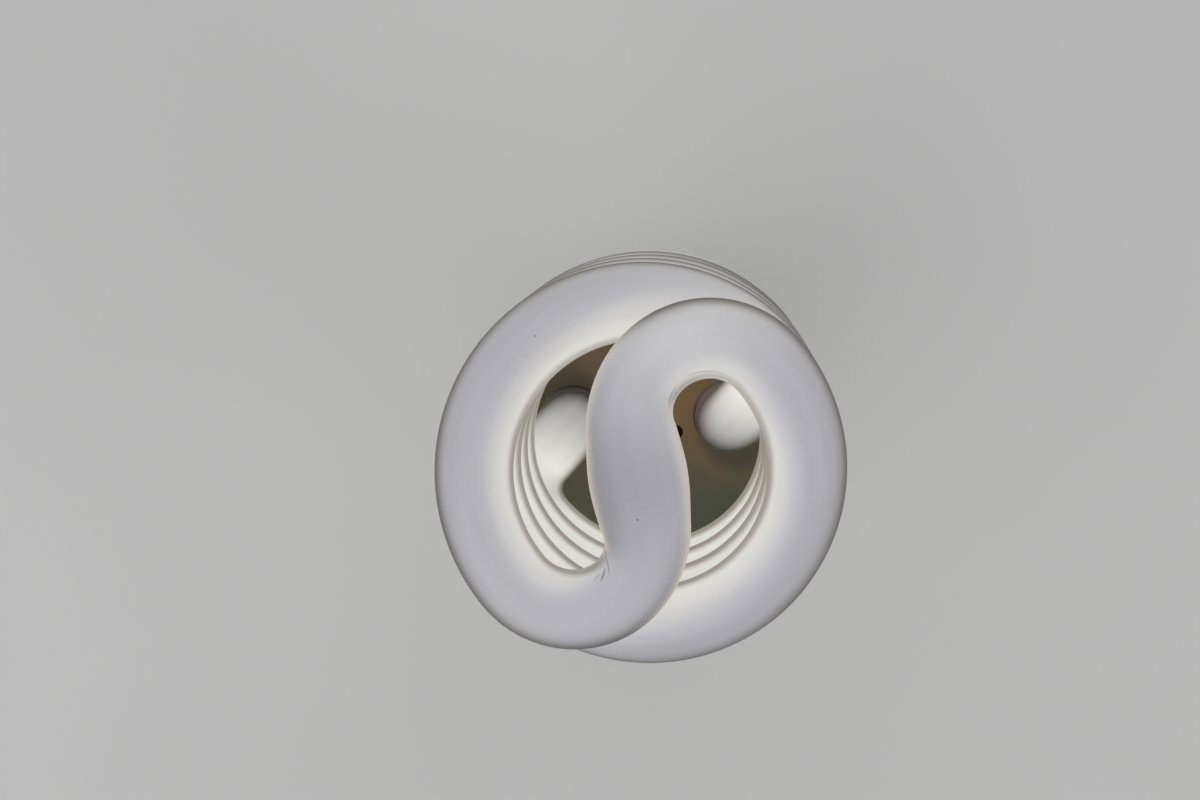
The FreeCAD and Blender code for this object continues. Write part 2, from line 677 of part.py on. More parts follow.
def upright_component(name, kind, angle, bead=False):
    """Body that stands upright under the board, with one straight lead and one bent back beside it."""
    diameter = f"Own.{kind}_diameter"
    length = f"Own.{kind}_length"
    top = f"({BOARD} - Own.stand_off)"
    foot = f"({top} - {length})"
    radius = f"{diameter} / 2"
    x = RING
    body = cylinder(f"{name}_body", radius, length, x, "0", foot)
    edge = size(f"{diameter} / 5")
    pieces = [rounded(f"{name}_round", body, edge, lambda item: item.BoundBox.ZLength < edge)]
    if bead:
        # The end caps of a resistor are a little thicker than its middle.
        thick = f"{radius} + {diameter} / 12"
        tall = f"{length} / 5"
        inset = f"{length} / 12"
        pieces.append(cylinder(f"{name}_cap", thick, tall, x, "0", f"{top} - {inset} - {tall}"))
        pieces.append(cylinder(f"{name}_foot_cap", thick, tall, x, "0", f"{foot} + {inset}"))
    pieces += leads(name, [(x, "0")], f"{top} - {length} / 4", angle)
    # The other lead leaves the foot and comes back up beside the body.
    pitch = size("Own.hairpin_pitch")
    start = V(size(x), 0, size(f"{foot} + {length} / 4"))
    low = size(f"{foot} - Own.stand_off / 2")
    end = V(start.x, pitch, size(f"{BOARD_TOP} + Own.lead_end"))
    turn = pitch / 2
    under = V(start.x, turn, low - turn)
    down = Part.LineSegment(start, V(start.x, 0, low)).toShape()
    bend = Part.Arc(V(start.x, 0, low), under, V(start.x, pitch, low)).toShape()
    back = Part.LineSegment(V(start.x, pitch, low), end).toShape()
    section = Part.Wire([Part.Circle(start, UP, size("Own.lead_diameter / 2")).toShape()])
    hairpin = document.addObject("Part::Feature", f"{name}_hairpin")
    hairpin.Shape = Part.Wire([down, bend, back]).makePipeShell([section], True, False)
    pieces.append(hairpin)
    hole = cylinder(f"{name}_hairpin_hole", "Own.lead_diameter / 2 + Dim.hole_gap", "3 * Dim.board_thickness",
                    x, "Own.hairpin_pitch", f"{BOARD} - Dim.board_thickness")
    board_holes.append(turned(group(f"{name}_hairpin_holes", [hole]), angle))
    keep(turned(fuse(name, pieces), angle), name)


def transistor(name, angle):
    """Half-round plastic body with three leads."""
    radius = "Own.transistor_diameter / 2"
    foot = f"{BOARD} - 3 * Own.stand_off - Own.transistor_height"
    body = cylinder(f"{name}_body", radius, "Own.transistor_height", RING, "0", foot)
    slab = box(f"{name}_slab", radius, "2 * Own.transistor_diameter", "3 * Own.transistor_height",
               f"{RING} + Own.transistor_flat + {radius} / 2", "0", f"{foot} - Own.transistor_height")
    pitch = "Own.transistor_pitch"
    places = [(RING, "0"), (RING, pitch), (RING, f"-{pitch}")]
    pins = leads(name, places, f"{foot} + Own.transistor_height / 2", angle, "0.4 * Own.lead_diameter")
    keep(turned(fuse(name, [cut(f"{name}_flat", body, slab)] + pins), angle), name)


BULK_Y = "(-Own.bulk_offset)"
CHOKE_X = "(-(Own.bulk_diameter + Own.choke_width) / 2 - Own.part_gap)"


def make_bulk_capacitor():
    """Electrolytic capacitor that hangs into the neck, with a bead near its mouth."""
    can = "Own.bulk_diameter / 2"
    foot = f"{BOARD} - Own.bulk_length"
    edge = "0.1 * Own.bulk_diameter"
    bead = "0.05 * Own.bulk_diameter"
    bead_height = f"{BOARD} - 0.15 * Own.bulk_length"
    body = revolved("bulk_can", [
        ("0", foot),
        (f"{can} - {edge}", foot, edge, 1),
        (can, f"{foot} + {edge}"),
        (can, f"{bead_height} - {bead}", f"1.3 * {bead}", -1),
        (can, f"{bead_height} + {bead}"),
        (can, f"{BOARD} - {bead}"),
        (f"{can} - {bead}", BOARD),
        ("0", BOARD),
    ])
    bind(body, {"Placement.Base.y": BULK_Y})
    spread = "Own.bulk_diameter / 4"
    places = [(f"-{spread}", BULK_Y), (spread, BULK_Y)]
    pins = leads("bulk_capacitor", places, f"{BOARD} - Own.bulk_length / 4")
    keep(fuse("bulk_capacitor", [body] + pins), "bulk_capacitor")


def make_choke():
    """Two E cores that meet inside a bobbin with one winding."""
    half = "Own.choke_length / 2"
    top = f"({BOARD} - Own.flange_thickness / 2)"
    foot = f"({top} - Own.choke_height)"
    middle = f"({top} - Own.choke_height / 2)"
    window = "(Own.choke_length / 2 - Own.core_side)"
    leg = "Own.core_leg / 2"
    for name, back, plate in (("choke_core_lower", foot, f"{foot} + Own.core_plate"),
                              ("choke_core_upper", top, f"{top} - Own.core_plate")):
        core = padded(name, [
            (f"-{half}", back),
            (half, back),
            (half, middle),
            (window, middle),
            (window, plate),
            (leg, plate),
            (leg, middle),
            (f"-{leg}", middle),
            (f"-{leg}", plate),
            (f"-{window}", plate),
            (f"-{window}", middle),
            (f"-{half}", middle),
        ], "Own.core_depth")
        bind(core, {"Placement.Base.x": CHOKE_X})
        keep(core, name)
    gap = "Dim.fit_gap"
    thick = "Own.flange_thickness"
    across = f"2 * {window} - 2 * {gap}"
    low_flange = f"({foot} + Own.core_plate + {gap})"
    high_flange = f"({top} - Own.core_plate - {gap} - {thick})"
    lower = box("bobbin_low_flange", "Own.choke_width", across, thick, CHOKE_X, "0", low_flange)
    upper = box("bobbin_high_flange", "Own.choke_width", across, thick, CHOKE_X, "0", high_flange)
    inner_x = f"(Own.core_depth + 2 * {gap})"
    inner_y = f"(Own.core_leg + 2 * {gap})"
    outer_x = f"({inner_x} + 2 * Own.bobbin_wall)"
    outer_y = f"({inner_y} + 2 * Own.bobbin_wall)"
    tube = box("bobbin_tube", outer_x, outer_y, f"{high_flange} - {low_flange}", CHOKE_X, "0", low_flange)
    rail_width = f"((Own.choke_width - {inner_x}) / 2)"
    rails = []
    places = []
    for side in (-1, 1):
        rail_x = f"({CHOKE_X} + {side} * (Own.choke_width - {rail_width}) / 2)"
        rails.append(box(f"bobbin_rail_{side + 2}", rail_width, across, f"{BOARD} - {high_flange}",
                         rail_x, "0", high_flange))
        places += [(rail_x, f"-0.4 * ({across})"), (rail_x, f"0.4 * ({across})")]
    pins = leads("choke", places, f"{BOARD} - {thick}")
    solid = fuse("bobbin_solid", [lower, upper, tube] + rails + pins)
    well = box("bobbin_well", inner_x, inner_y, "2 * Own.choke_height",
               CHOKE_X, "0", f"{foot} - Own.choke_height / 2")
    keep(cut("choke_bobbin", solid, well), "choke_bobbin")
    winding_foot = f"({low_flange} + {thick} + {gap} / 2)"
    winding_height = f"{high_flange} - {winding_foot} - {gap} / 2"
    copper = box("winding_block", f"Own.choke_width - 2 * {gap}", f"{across} - 2 * {gap}", winding_height,
                 CHOKE_X, "0", winding_foot)
    copper = rounded("winding_round", copper, size("0.2 * Own.choke_width"),
                     lambda edge: edge.BoundBox.ZLength > size(winding_height) * 0.9)
    hollow = box("winding_hollow", f"{outer_x} + {gap} / 2", f"{outer_y} + {gap} / 2", "Own.choke_height",
                 CHOKE_X, "0", f"{winding_foot} - {thick}")
    keep(cut("choke_winding", copper, hollow), "choke_winding")


TOROID_X = "((Own.bulk_diameter + Own.toroid_outer) / 2 + Own.part_gap + Own.winding_wire)"


def make_feedback_transformer():
    """Ferrite ring that lies under the board, with three windings of a few turns."""
    windings = 3
    count = 4
    wire = "Own.winding_wire"
    top = f"({BOARD} - {wire} - Dim.fit_gap)"
    foot = f"({top} - Own.toroid_height)"
    inner = "Own.toroid_inner / 2"
    outer = "Own.toroid_outer / 2"
    edge = "0.08 * Own.toroid_height"
    ring = revolved("feedback_toroid", [
        (inner, f"{foot} + {edge}", edge, 1),
        (f"{inner} + {edge}", foot),
        (f"{outer} - {edge}", foot, edge, 1),
        (outer, f"{foot} + {edge}"),
        (outer, f"{top} - {edge}", edge, 1),
        (f"{outer} - {edge}", top),
        (f"{inner} + {edge}", top, edge, 1),
        (inner, f"{top} - {edge}"),
    ])
    bind(ring, {"Placement.Base.x": TOROID_X, "Placement.Base.y": BULK_Y})
    keep(ring, "feedback_toroid")
    radius = size(f"{wire} / 2")
    offset = radius + size("Dim.hole_gap / 2")
    left, right = size(inner) - offset, size(outer) + offset
    low, high = size(foot) - offset, size(top) + offset
    corner = 2 * radius
    place = V(size(TOROID_X), size(BULK_Y), 0)
    turns = []
    for start in range(30, 390, 360 // windings):
        for step in range(count):
            angle = start + 16 * step
            turn = wire_loop(left, right, low, high, corner, radius)
            if step in (0, count - 1):
                # The first and last turns go on up through the board.
                rise = size(f"{BOARD_TOP} + Own.lead_end") - (low + high) / 2
                turn = turn.fuse(Part.makeCylinder(radius, rise, V(right, 0, (low + high) / 2)))
                hole = cylinder(f"feedback_hole_{angle}", f"{wire} / 2 + Dim.hole_gap",
                                "3 * Dim.board_thickness", str(right), "0", f"{BOARD} - Dim.board_thickness")
                spun = turned(group(f"feedback_spin_{angle}", [hole]), angle)
                spun.Placement = FreeCAD.Placement(place, FreeCAD.Rotation(UP, angle))
                board_holes.append(spun)
            turn.rotate(V(), UP, angle)
            turn.translate(place)
            turns.append(turn)
    feature = document.addObject("Part::Feature", "feedback_windings")
    feature.Shape = Part.makeCompound(turns)
    keep(feature, "feedback_windings")


def wire_loop(left, right, low, high, corner, radius):
    """Closed turn of round wire about a rectangle in the XZ plane."""
    slant = corner * (1 - math.sqrt(0.5))
    edges = []
    # Corner centre and the signs of its quadrant, anticlockwise from the upper right.
    quadrants = ((right, high, 1, 1), (left, high, -1, 1), (left, low, -1, -1), (right, low, 1, -1))
    ends = []
    for x, z, across, up in quadrants:
        side = V(x, 0, z - up * corner)
        level = V(x - across * corner, 0, z)
        middle = V(x - across * slant, 0, z - up * slant)
        first, last = (side, level) if across * up > 0 else (level, side)
        ends.append((first, last))
        edges.append(Part.Arc(first, middle, last).toShape())
    for (_, last), (first, _) in zip(ends, ends[1:] + ends[:1]):
        edges.append(Part.LineSegment(last, first).toShape())
    path = Part.Wire(Part.sortEdges(edges)[0])
    start = path.OrderedVertexes[0].Point
    tangent = path.OrderedEdges[0].tangentAt(path.OrderedEdges[0].FirstParameter)
    section = Part.Wire([Part.Circle(start, tangent, radius).toShape()])
    return path.makePipeShell([section], True, False)


def make_input_inductor():
    """Drum core with its winding, on the outer ring."""
    angle = 35
    drum = "Own.drum_diameter / 2"
    core = "Own.drum_core / 2"
    foot = f"({BOARD} - Own.drum_height)"
    body = revolved("input_inductor_body", [
        ("0", foot),
        (drum, foot),
        (drum, f"{foot} + Own.drum_flange"),
        (core, f"{foot} + Own.drum_flange"),
        (core, f"{BOARD} - Own.drum_flange"),
        (drum, f"{BOARD} - Own.drum_flange"),
        (drum, BOARD),
        ("0", BOARD),
    ])
    bind(body, {"Placement.Base.x": RING})
    spread = "Own.drum_core / 2"
    pins = leads("input_inductor", [(RING, spread), (RING, f"-{spread}")],
                 f"{BOARD} - Own.drum_flange / 2", angle)
    keep(turned(fuse("input_inductor_drum", [body] + pins), angle), "input_inductor_core")
    inside = f"{core} + Dim.hole_gap / 2"
    outside = f"{drum} - Own.drum_flange / 3"
    low = f"{foot} + Own.drum_flange + Dim.hole_gap / 2"
    high = f"{BOARD} - Own.drum_flange - Dim.hole_gap / 2"
    coil = revolved("input_inductor_coil", [(inside, low), (outside, low), (outside, high), (inside, high)])
    bind(coil, {"Placement.Base.x": RING})
    keep(turned(group("input_inductor_turns", [coil]), angle), "input_inductor_winding")


def rounded_route(points, corner):
    """Wire of straight runs with an arc of one radius at each turn."""
    edges = []
    start = points[0]
    for before, point, after in zip(points, points[1:], points[2:]):
        back = (before - point).normalize()
        ahead = (after - point).normalize()
        half = math.acos(max(-1.0, min(1.0, back.dot(ahead)))) / 2
        reach = min(corner / math.tan(half), 0.45 * (before - point).Length, 0.45 * (after - point).Length)
        first = point + back * reach
        last = point + ahead * reach
        bisector = (back + ahead).normalize()
        radius = reach * math.tan(half)
        middle = point + bisector * (radius / math.sin(half) - radius)
        edges.append(Part.LineSegment(start, first).toShape())
        edges.append(Part.Arc(first, middle, last).toShape())
        start = last
    edges.append(Part.LineSegment(start, points[-1]).toShape())
    return Part.Wire(edges)


def round_wire(name, points, diameter, corner):
    """Round wire along a route."""
    route = rounded_route(points, corner)
    direction = points[1] - points[0]
    section = Part.Wire([Part.Circle(points[0], direction, diameter / 2).toShape()])
    feature = document.addObject("Part::Feature", name)
    feature.Shape = route.makePipeShell([section], True, False)
    return keep(feature, name)


def make_tube_wires(arm):
    """Pins on the board and the leads from each end of the tube to them."""
    radius = "Own.pin_diameter / 2"
    number = 0
    for sign in (1, -1):
        for side in (1, -1):
            number += 1
            x = f"{sign} * {PIN_RING}"
            y = f"{side} * Own.pin_spread"
            foot = f"{BOARD} - Own.lead_end"
            tall = f"{BOARD_TOP} + Own.pin_height - ({foot})"
            keep(cylinder(f"wire_pin_{number}", radius, tall, x, y, foot), f"wire_pin_{number}")
            hole = cylinder(f"pin_hole_{number}", f"{radius} + Dim.hole_gap", "3 * Dim.board_thickness",
                            x, y, f"{BOARD} - Dim.board_thickness")
            board_holes.append(hole)
            leg = V(sign * arm.leg.x, sign * arm.leg.y, arm.leg.z)
            start = leg + V(0, side * size("Dim.electrode_spread"), 0)
            level = size(f"{BOARD_TOP} + Own.pin_height / 2")
            wire = size("Dim.electrode_wire")
            target = V(size(x), size(y), level)
            below = V(start.x, start.y, level)
            reach = (target - below).normalize() * size(f"{radius} + Dim.hole_gap / 2")
            round_wire(f"electrode_wire_{number}", [start, below, target - reach], wire, 2 * wire)


def make_supply_wires():
    """Live lead with its fusible resistor, and the neutral lead to the screw shell."""
    wire = size("Dim.supply_wire")
    stem_top = size("Dim.insulator_height - 3 * Dim.contact_thickness")
    fuse_foot = size("Dim.fuse_height")
    fuse_top = size("Dim.fuse_height + Dim.fuse_length")
    board = size(BOARD)
    body = cylinder("fusible_body", "Dim.fuse_diameter / 2", "Dim.fuse_length", "0", "0", "Dim.fuse_height")
    edge = size("0.2 * Dim.fuse_diameter")
    body = rounded("fusible_round", body, edge, lambda item: item.BoundBox.ZLength < edge)
    keep(body, "fusible_resistor")
    axis_foot = V(0, 0, stem_top)
    direct = document.addObject("Part::Feature", "contact_lead")
    direct.Shape = Part.makeCylinder(size("Own.lead_diameter / 2"), fuse_foot - stem_top, axis_foot)
    keep(direct, "contact_lead")
    bore = size(f"{PLUG} - Dim.plug_wall") - wire
    neck = size(f"{SHOULDER} + Dim.housing_wall")
    gap = size("Own.part_gap")
    bulk = size("Own.bulk_diameter / 2")
    bulk_y = size(BULK_Y)
    live_x = size(f"{CHOKE_X} + Own.choke_width / 2") + 2.4 * gap
    live_y = bulk_y - bulk - 2.7 * gap
    slip = bore * 0.8 / math.hypot(live_x, live_y)
    round_wire("live_lead", [
        V(0, 0, fuse_top),
        V(0, 0, fuse_top + 2 * wire),
        V(live_x * slip, live_y * slip, neck - wire),
        V(live_x, live_y, neck + 4 * wire),
        V(live_x, live_y, board),
    ], wire, 2 * wire)
    neutral_x = -size("Own.box_length / 4") - 1.5 * gap
    neutral_y = bulk_y + bulk + 5.0 * gap
    slip = bore * 0.85 / math.hypot(neutral_x, neutral_y)
    inner_x, inner_y = neutral_x * slip, neutral_y * slip
    plug_foot = size(f"{SHOULDER} - Dim.plug_length")
    shell = size("Dim.thread_root / 2 - Dim.cap_wall - Dim.fit_gap") / math.hypot(inner_x, inner_y)
    turn = plug_foot - 1.2 * wire
    round_wire("neutral_lead", [
        V(neutral_x, neutral_y, board),
        V(neutral_x, neutral_y, neck + 4 * wire),
        V(inner_x, inner_y, neck - wire),
        V(inner_x, inner_y, turn),
        V(inner_x * shell, inner_y * shell, turn),
    ], wire, 1.5 * wire)


def make_board():
    """Round circuit board on the ribs, with a hole for each lead."""
    blank = cylinder("board_blank", BOARD_RADIUS, "Dim.board_thickness", "0", "0", BOARD)
    keep(cut("circuit_board", blank, group("board_holes", board_holes)), "circuit_board")


arm = Arm()
make_discharge_tube(arm)
make_cover(arm)
make_housing()
make_cap_shell()
make_cap()
make_bulk_capacitor()
make_choke()
make_feedback_transformer()
box_capacitor("resonance_capacitor", "box", "Own.box_length / 4",
              f"({BULK_Y} + (Own.bulk_diameter + Own.box_depth) / 2 + Own.part_gap)")
box_capacitor("coupling_capacitor", "small_box", "Own.small_box_length * 0.4",
              f"({BULK_Y} - (Own.bulk_diameter + Own.small_box_depth) / 2 - Own.part_gap)")
box_capacitor("starting_capacitor", "start_box", "0", RING, -18)
for number in range(4):
    upright_component(f"rectifier_diode_{number + 1}", "diode", 92 + 17 * number)
    upright_component(f"resistor_{number + 1}", "resistor", 210 + 16 * number, bead=True)
upright_component("trigger_diode", "trigger", 328)
transistor("transistor_1", 288)
transistor("transistor_2", 308)
make_input_inductor()
make_tube_wires(arm)
make_supply_wires()
make_board()

document.recompute()
for item in document.Objects:
    if "Invalid" in item.State or "Error" in item.State:
        raise RuntimeError(f"{item.Label} did not compute: {item.State}")
for part in parts:
    if part.Shape.isNull() or not part.Shape.isValid():
        raise RuntimeError(f"{part.Label} has no valid shape")
os.makedirs("parts", exist_ok=True)
for part in parts:
    part.Shape.exportStep(f"parts/{part.Label}.step")
print(len(parts), "parts written")
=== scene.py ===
import json
import math

import bpy
import numpy as np
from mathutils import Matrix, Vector
from mathutils.bvhtree import BVHTree


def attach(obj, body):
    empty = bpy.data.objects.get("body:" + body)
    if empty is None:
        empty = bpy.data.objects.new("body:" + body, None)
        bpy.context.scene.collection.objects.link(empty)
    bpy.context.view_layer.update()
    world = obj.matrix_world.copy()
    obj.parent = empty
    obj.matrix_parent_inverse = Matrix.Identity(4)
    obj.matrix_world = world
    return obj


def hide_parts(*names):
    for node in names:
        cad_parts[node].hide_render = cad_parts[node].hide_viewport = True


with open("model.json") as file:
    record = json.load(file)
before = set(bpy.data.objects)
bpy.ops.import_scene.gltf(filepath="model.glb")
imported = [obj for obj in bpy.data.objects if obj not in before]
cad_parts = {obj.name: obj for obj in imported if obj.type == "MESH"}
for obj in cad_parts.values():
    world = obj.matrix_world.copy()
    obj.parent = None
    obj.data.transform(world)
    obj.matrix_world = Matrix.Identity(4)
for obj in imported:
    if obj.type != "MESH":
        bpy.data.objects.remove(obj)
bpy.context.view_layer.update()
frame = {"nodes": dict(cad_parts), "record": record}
MM = 0.001

# The glass tube, with the same sizes as the solid, in millimetres.
TUBE_RADIUS = 4.75
COIL_RADIUS = 20.0
PASS_SPACING = 10.8
COIL_TURNS = 2
BRIDGE_RADIUS = 9.2
BRIDGE_AZIMUTH = math.radians(40.3)
BRIDGE_FLAT = 11.0
TIP_SWELL = 1.1
SWELL_REACH = 6.8
LEAD_IN_RADIUS = 6.5
LEAD_IN_TURN = math.radians(84.0)
LEG_BEND_RADIUS = 6.5
COVER_TOP = 67.0
COVER_RADIUS = 23.5
COIL_TO_COVER = 6.3
LEG_END = 55.4
SEAL_LENGTH = 3.6
SEAL_FLAT = 0.45
EXHAUST_RADIUS = 1.1
EXHAUST_LENGTH = 1.6
# Rings of the exhaust stub with its rounded end: radius, and depth as a share of its length.
EXHAUST_RINGS = ((EXHAUST_RADIUS, 0), (EXHAUST_RADIUS, 0.6), (0.8, 0.9), (0.4, 1.0))
SLOPE = PASS_SPACING / (math.pi * COIL_RADIUS)

# How finely the tube is drawn: mm along it, rings on a closed end, and points round it.
TUBE_STEP = 0.62
SEAL_RINGS = 8
TUBE_SIDES = 44


def smooth(value, low, high):
    """Smooth change from 0 at low to 1 at high."""
    part = np.clip((value - low) / (high - low), 0, 1)
    return part * part * (3 - 2 * part)


def circle(count):
    """Angles of points that stand evenly round a circle."""
    return 2 * math.pi * np.arange(count) / count


def fall(run):
    """Height lost after a run along the plan of an arm."""
    part = np.minimum(1.0, run / BRIDGE_FLAT)
    near = SLOPE * BRIDGE_FLAT * (part ** 3 - part ** 4 / 2)
    return np.where(run < BRIDGE_FLAT, near, SLOPE * (run - BRIDGE_FLAT / 2))


def steepness(run):
    """Slope of the middle line there, from 0 at the tip to the coil's."""
    part = np.minimum(1.0, run / BRIDGE_FLAT)
    return SLOPE * part ** 2 * (3 - 2 * part)


def plan_path():
    """Plan of an arm from the tip to the bend into its leg, in rows of x, y, run and heading."""
    offset = COIL_RADIUS - BRIDGE_RADIUS
    lean = math.asin(BRIDGE_RADIUS / offset)
    straight = math.sqrt(offset ** 2 - BRIDGE_RADIUS ** 2)
    heading = BRIDGE_AZIMUTH + lean
    runs = np.linspace(0, straight, round(straight / TUBE_STEP) + 1)
    plan = [np.c_[runs * math.cos(heading), runs * math.sin(heading), runs, np.full(len(runs), heading)]]
    bends = (
        (BRIDGE_RADIUS, lean + math.pi / 2),
        (COIL_RADIUS, 2 * math.pi * COIL_TURNS),
        (LEAD_IN_RADIUS, LEAD_IN_TURN),
    )
    for radius, turn in bends:
        x, y, run, heading = plan[-1][-1]
        centre_x = x + radius * math.sin(heading)
        centre_y = y - radius * math.cos(heading)
        done = np.linspace(0, turn, round(radius * turn / TUBE_STEP) + 1)[1:]
        now = heading - done
        plan.append(np.c_[centre_x - radius * np.sin(now), centre_y + radius * np.cos(now),
                          run + radius * done, now])
    return np.vstack(plan)


def arm_line():
    """Middle line of one arm from the tip to its closed end: centres, directions, radii and run."""
    x, y, run, heading = plan_path().T
    tip = COVER_TOP + COIL_TO_COVER + TUBE_RADIUS + float(fall(run[-1]))
    pitch = np.arctan(steepness(run))
    centres = np.c_[x, y, tip - fall(run)]
    directions = np.c_[np.cos(heading) * np.cos(pitch), np.sin(heading) * np.cos(pitch), -np.sin(pitch)]
    radii = TUBE_RADIUS + TIP_SWELL * np.exp(-(run / SWELL_REACH) ** 2)
    # The bend down into the leg
    last, pitch = heading[-1], math.atan(SLOPE)
    steps = round(LEG_BEND_RADIUS * (math.pi / 2 - pitch) / TUBE_STEP)
    angle = np.linspace(pitch, math.pi / 2, steps + 1)[1:]
    out = LEG_BEND_RADIUS * (np.sin(angle) - math.sin(pitch))
    down = LEG_BEND_RADIUS * (math.cos(pitch) - np.cos(angle))
    bend = centres[-1] + np.c_[out * math.cos(last), out * math.sin(last), -down]
    bend_directions = np.c_[math.cos(last) * np.cos(angle), math.sin(last) * np.cos(angle), -np.sin(angle)]
    # The leg and its closed end
    top = bend[-1]
    length = top[2] - LEG_END - SEAL_LENGTH
    part = np.sin(np.linspace(0, math.pi / 2, SEAL_RINGS + 1))[1:]
    depth = np.r_[np.linspace(0, length, round(length / TUBE_STEP) + 1)[1:], length + SEAL_LENGTH * part]
    leg = top - np.c_[np.zeros((len(depth), 2)), depth]
    closing = math.sqrt(1 - SEAL_FLAT ** 2)
    narrow = np.ones(len(depth))
    narrow[-SEAL_RINGS:] = np.sqrt(1 - (closing * part) ** 2)
    centres = np.vstack([centres, bend, leg])
    directions = np.vstack([directions, bend_directions, np.tile((0.0, 0.0, -1.0), (len(leg), 1))])
    radii = np.r_[radii, np.full(len(bend), TUBE_RADIUS), TUBE_RADIUS * narrow]
    lengths = np.linalg.norm(np.diff(centres, axis=0), axis=1)
    return centres, directions, radii, np.r_[0, np.cumsum(lengths)]


def carried(directions):
    """Normals that follow the middle line with as little twist as possible."""
    normals = [np.array((1.0, 0.0, 0.0))]
    for direction in directions[1:]:
        normal = normals[-1] - direction * (normals[-1] @ direction)
        normals.append(normal / np.linalg.norm(normal))
    return np.array(normals)


def tube_grid():
    """Rows of the tube: wall points, the way out at each, middle line and signed distance from the tip."""
    centres, directions, radii, run = arm_line()
    half_turn = np.array((-1.0, -1.0, 1.0))
    back = slice(None, 0, -1)
    line = np.vstack([centres[back] * half_turn, centres])
    ahead = np.vstack([directions[back] * half_turn * -1, directions])
    radius = np.r_[radii[back], radii]
    along = np.r_[-run[back], run]
    normals = carried(ahead)
    across = np.cross(ahead, normals)
    angle = circle(TUBE_SIDES)
    outward = normals[:, None] * np.cos(angle)[None, :, None] + across[:, None] * np.sin(angle)[None, :, None]
    points = line[:, None] + outward * radius[:, None, None]
    return points, outward, line, along


def wall_faces(rows, sides):
    """Faces between rows of points that go all the way round."""
    faces = []
    for low in range(0, (rows - 1) * sides, sides):
        high = low + sides
        for side in range(sides):
            after = (side + 1) % sides
            faces.append((low + side, low + after, high + after, high + side))
    return faces


def grid_mesh(name, points, ends=((), ())):
    """Smooth mesh of a tube given as rows of points, in mm, closed by more rings or a point at each end."""
    rows, sides = points.shape[:2]
    verts = list(points.reshape(-1, 3) * MM)
    faces = wall_faces(rows, sides)
    for rings, first, flip in ((ends[0], 0, True), (ends[1], (rows - 1) * sides, False)):
        edge = list(range(first, first + sides))
        for ring in rings:
            start = len(verts)
            verts += list(ring * MM)
            new = list(range(start, start + len(ring)))
            for side in range(sides):
                after = (side + 1) % sides
                if len(new) == 1:
                    face = (edge[side], edge[after], new[0])
                else:
                    face = (edge[side], edge[after], new[after], new[side])
                faces.append(face[::-1] if flip else face)
            edge = new
    mesh = bpy.data.meshes.new(name)
    mesh.from_pydata([tuple(v) for v in verts], [], faces)
    mesh.shade_smooth()
    mesh.update()
    return mesh


def place(name, mesh, slot, material, *replaced):
    """Piece that moves with the lamp."""
    piece = bpy.data.objects.new(name, mesh)
    bpy.context.scene.collection.objects.link(piece)
    mesh.materials.append(material)
    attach(piece, "root")
    if replaced:
        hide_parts(*replaced)


# Light of the tube
# Each patch of the lit tube also lights the ones that face it, so the walls that look into the coil are the
# brightest. The exchange is worked out once here and kept on the mesh as a plain number at each point. What a
# point gives off by itself is set here, to match the photograph.
OWN_LIGHT = 0.422
# Change of a stretch's own light: how much, where along the tube from its tip, and over what length.
STRETCHES = (
    (-0.19, 0.0, 6.5),
    (0.33, 18.5, 9.5),
    (0.08, -25.0, 13.0),
    (-0.1, 74.0, 14.0),
)
# Gain of the walls that look out of the coil, and how closely it keeps to the outermost line of the tube.
UPPER_GAIN = 0.62
UPPER_POWER = 6
LOWER_GAIN = 0.5
LOWER_POWER = 1.5
# Gain of the walls that look into it.
INNER_GAIN = 0.5
# Distance from the axis over which the tube comes to count as a part of the coil, and the least one to divide by.
COIL_FROM = 9.0
COIL_FULL = 18.0
NEAR_AXIS = 0.01
# The lower passes, by distance along the tube from its tip.
LOWER_FROM = (42.0, 104.0)
LOWER_TO = (262.0, 282.0)
# The S is brighter on its +X side, up to this far from the tip.
S_LEAN = 0.2
S_LEAN_LEAST = -0.4
S_LEAN_FADE = (3.0, 12.0)
# The flanks of the S over the two openings catch the light that comes up out of the coil. It fades along the
# tube, sooner on the inside of the bends, and towards the top of the wall.
FLANK_LIGHT = 0.33
FLANK_INSIDE = (8.0, 13.0)
FLANK_OUTSIDE = (12.0, 17.5)
FLANK_TOP = (0.28, 0.7)
# Brightness above which a wall gains less, and how much less.
KNEE = 0.6
PAST_KNEE = 0.45
# The last of each leg, by the electrodes, has a gain of its own and a shade on one side.
LEG_FADE = (281.0, 297.0)
LEG_GAIN = 0.34
LEG_SHADE = 0.62
LEG_SHADED = (-0.6, -0.8, 0.0)
LEG_SHADE_TURN = (-0.3, 0.9)
# Walls that look to the inside of a bend have a band at their edge, away from the tip and the legs.
BAND_INSIDE = (0.1, 0.6)
BAND_FROM = (7.0, 13.0)
# Stretches where that band is fainter: by how much, where along the tube from its tip, and over what length.
FAINTER_BANDS = (
    (0.3, 22.0, 14.0),
    (0.28, -68.0, 18.0),
)
# The exchange: shares of light that the glass and the cover send back, the light that the cover shows and that the
# studio gives, and the share of what is gathered that the white powder shows again.
GLASS_RETURN = 0.64
COVER_RETURN = 0.12
COVER_SHADE = 0.05
STUDIO = 1.0
PAINT = 0.3
# Rays from each point, their turn from one point to the next, their start above the wall in mm, and how steep a
# wall may be for its first axis to be taken from +Z.
RAYS = 96
RAY_TURN = 2.399963
RAY_START = 0.05
STEEP = 0.9
# Rows of the tube from one patch to the next, sides of the cover, returns of light, and times of smoothing.
ROW_STEP = 3
COVER_SIDES = 24
RETURNS = 6
SMOOTHINGS = 5


def humps(along, rows):
    """Sum of humps along the tube, each a row of height, middle and reach."""
    return sum(height * np.exp(-((along - middle) / reach) ** 2) for height, middle, reach in rows)


